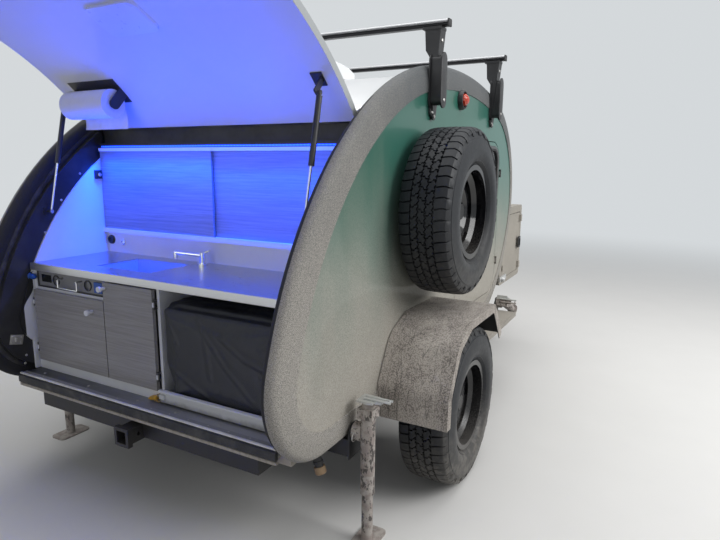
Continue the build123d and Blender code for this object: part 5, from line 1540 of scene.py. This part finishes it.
# %% [markdown]
# ## The blue light
# A strip of blue diodes under the header floods the galley and the inside of the hatch.
# An emitting strip alone would need many samples to light a room, so the strip glows and
# three area lamps near it do its work.  One shines down on the counter, one on the
# sliding doors and one up into the hatch.  They stay hidden from the camera and from
# glossy surfaces, and the first has a narrow spread, so that less of its light falls on
# the floor.

# %% Blue strip and its lamps
DIODE_BLUE = (0.0, 0.06, 1.0)
BLUE_LAMPS = (
    # name, place, aim, width and depth, power, spread in degrees
    ("blue_down", (0, -0.490, 1.515), (0, -0.58, 1.0), (1.40, 0.03), 30, 84),
    ("blue_on_sliders", (0, -0.560, 1.510), (0, -0.445, 1.25), (1.40, 0.03), 7, 180),
    ("blue_up", (0, -0.700, 1.320), (0, -1.15, 1.98), (1.30, 0.35), 8, 150),
)

blue_glow, shader, place = finish("blue_light_strip", (0.2, 0.35, 1.0), 0.4, 0.0, Emission_Strength=2.6)
spots = place.node("TexWave", {"bands_direction": "X"}, {"Vector": place, "Scale": 18.0})
put(shader, "Emission Color", spots.blend((0.0, 0.02, 0.85), (0.0, 0.09, 1.0)))
wear(blue_glow, "light_strip")

for name, at, aim, size, power, spread in BLUE_LAMPS:
    lamp = area_lamp(name, at, aim, size, power)
    lamp.data.color = DIODE_BLUE
    lamp.data.spread = math.radians(spread)
    lamp.visible_camera = False
    lamp.visible_glossy = False

# %% [markdown]
# ## Floor and sky
# A plain pale floor shows the shadow.  Far off it fades into the haze of the backdrop, so
# that no horizon shows.  The Light Path node tells which rays are seen by the camera, by
# glossy metal and through glass: those meet the pale floor and the haze, and the others
# a darker floor and a dim sky, so that the backdrop adds no light to the trailer.  The
# floor isn't part of the trailer.

# %% Floor and sky
HAZE = (0.66, 0.69, 0.71)
SKY_TINT = (0.86, 0.90, 0.95)
SKY_STRENGTH = 0.25
FLOOR_HALF = 30


def seen_rays(wire):
    """1 for camera, glossy and transmission rays."""
    return wire.node("LightPath") + wire.node("LightPath", out=3) + wire.node("LightPath", out=6)


floor_mesh = bpy.data.meshes.new("studio_floor")
corners = [(x * FLOOR_HALF, y * FLOOR_HALF, 0) for x, y in ((-1, -1), (1, -1), (1, 1), (-1, 1))]
floor_mesh.from_pydata(corners, [], [(0, 1, 2, 3)])
floor = bpy.data.objects.new("studio_floor", floor_mesh)
bpy.context.collection.objects.link(floor)
floor_coat, shader, place = finish("pale_floor", (0.72, 0.71, 0.69), 0.9)
pale = place.noise(3.0).blend((0.70, 0.69, 0.67), (0.74, 0.73, 0.71))
seen = seen_rays(place)
put(shader, "Base Color", seen.blend((0.30, 0.30, 0.29), pale))
far_off = place.vector("LENGTH", out=1).ramp(3.5, 11.0)
haze = place.node("Emission", {}, {"Color": as_colour(HAZE), "Strength": 1.0})
tree = floor_coat.node_tree
near_floor = Wire(tree, shader.outputs[0])
fading = place.node("MixShader", {}, {0: far_off * seen, 1: near_floor, 2: haze})
tree.links.new(fading.socket, tree.nodes["Material Output"].inputs["Surface"])
wear(floor_coat, floor)

world = bpy.data.worlds.new("overcast")
bpy.context.scene.world = world
world.use_nodes = True
tree = world.node_tree
sky_node = tree.nodes["Background"]
sky_node.inputs["Color"].default_value = as_colour(SKY_TINT)
sky_node.inputs["Strength"].default_value = SKY_STRENGTH
sky = Wire(tree, sky_node.outputs[0])
shown = sky.node("Background", {}, {"Color": as_colour(HAZE), "Strength": 1.0})
backdrop = sky.node("MixShader", {}, {0: seen_rays(sky), 1: sky, 2: shown})
tree.links.new(backdrop.socket, tree.nodes["World Output"].inputs["Surface"])

# %% [markdown]
# Three big white lamps stand in for the overcast sky: one overhead, one from the kerb
# side that models the wheels, and a weak one behind the camera that opens the shadows.

# %% Soft lamps
area_lamp("sky", (0, 0.5, 7), (0, 0.5, 0), (8, 8), 360)
area_lamp("kerb_side", (6, 1.2, 4), (0, 0.3, 0.8), (4, 4), 290)
area_lamp("rear_fill", (1.0, -7.0, 1.3), (0.2, -0.9, 0.7), (3, 3), 45)
bpy.context.scene.view_settings.view_transform = "Standard"
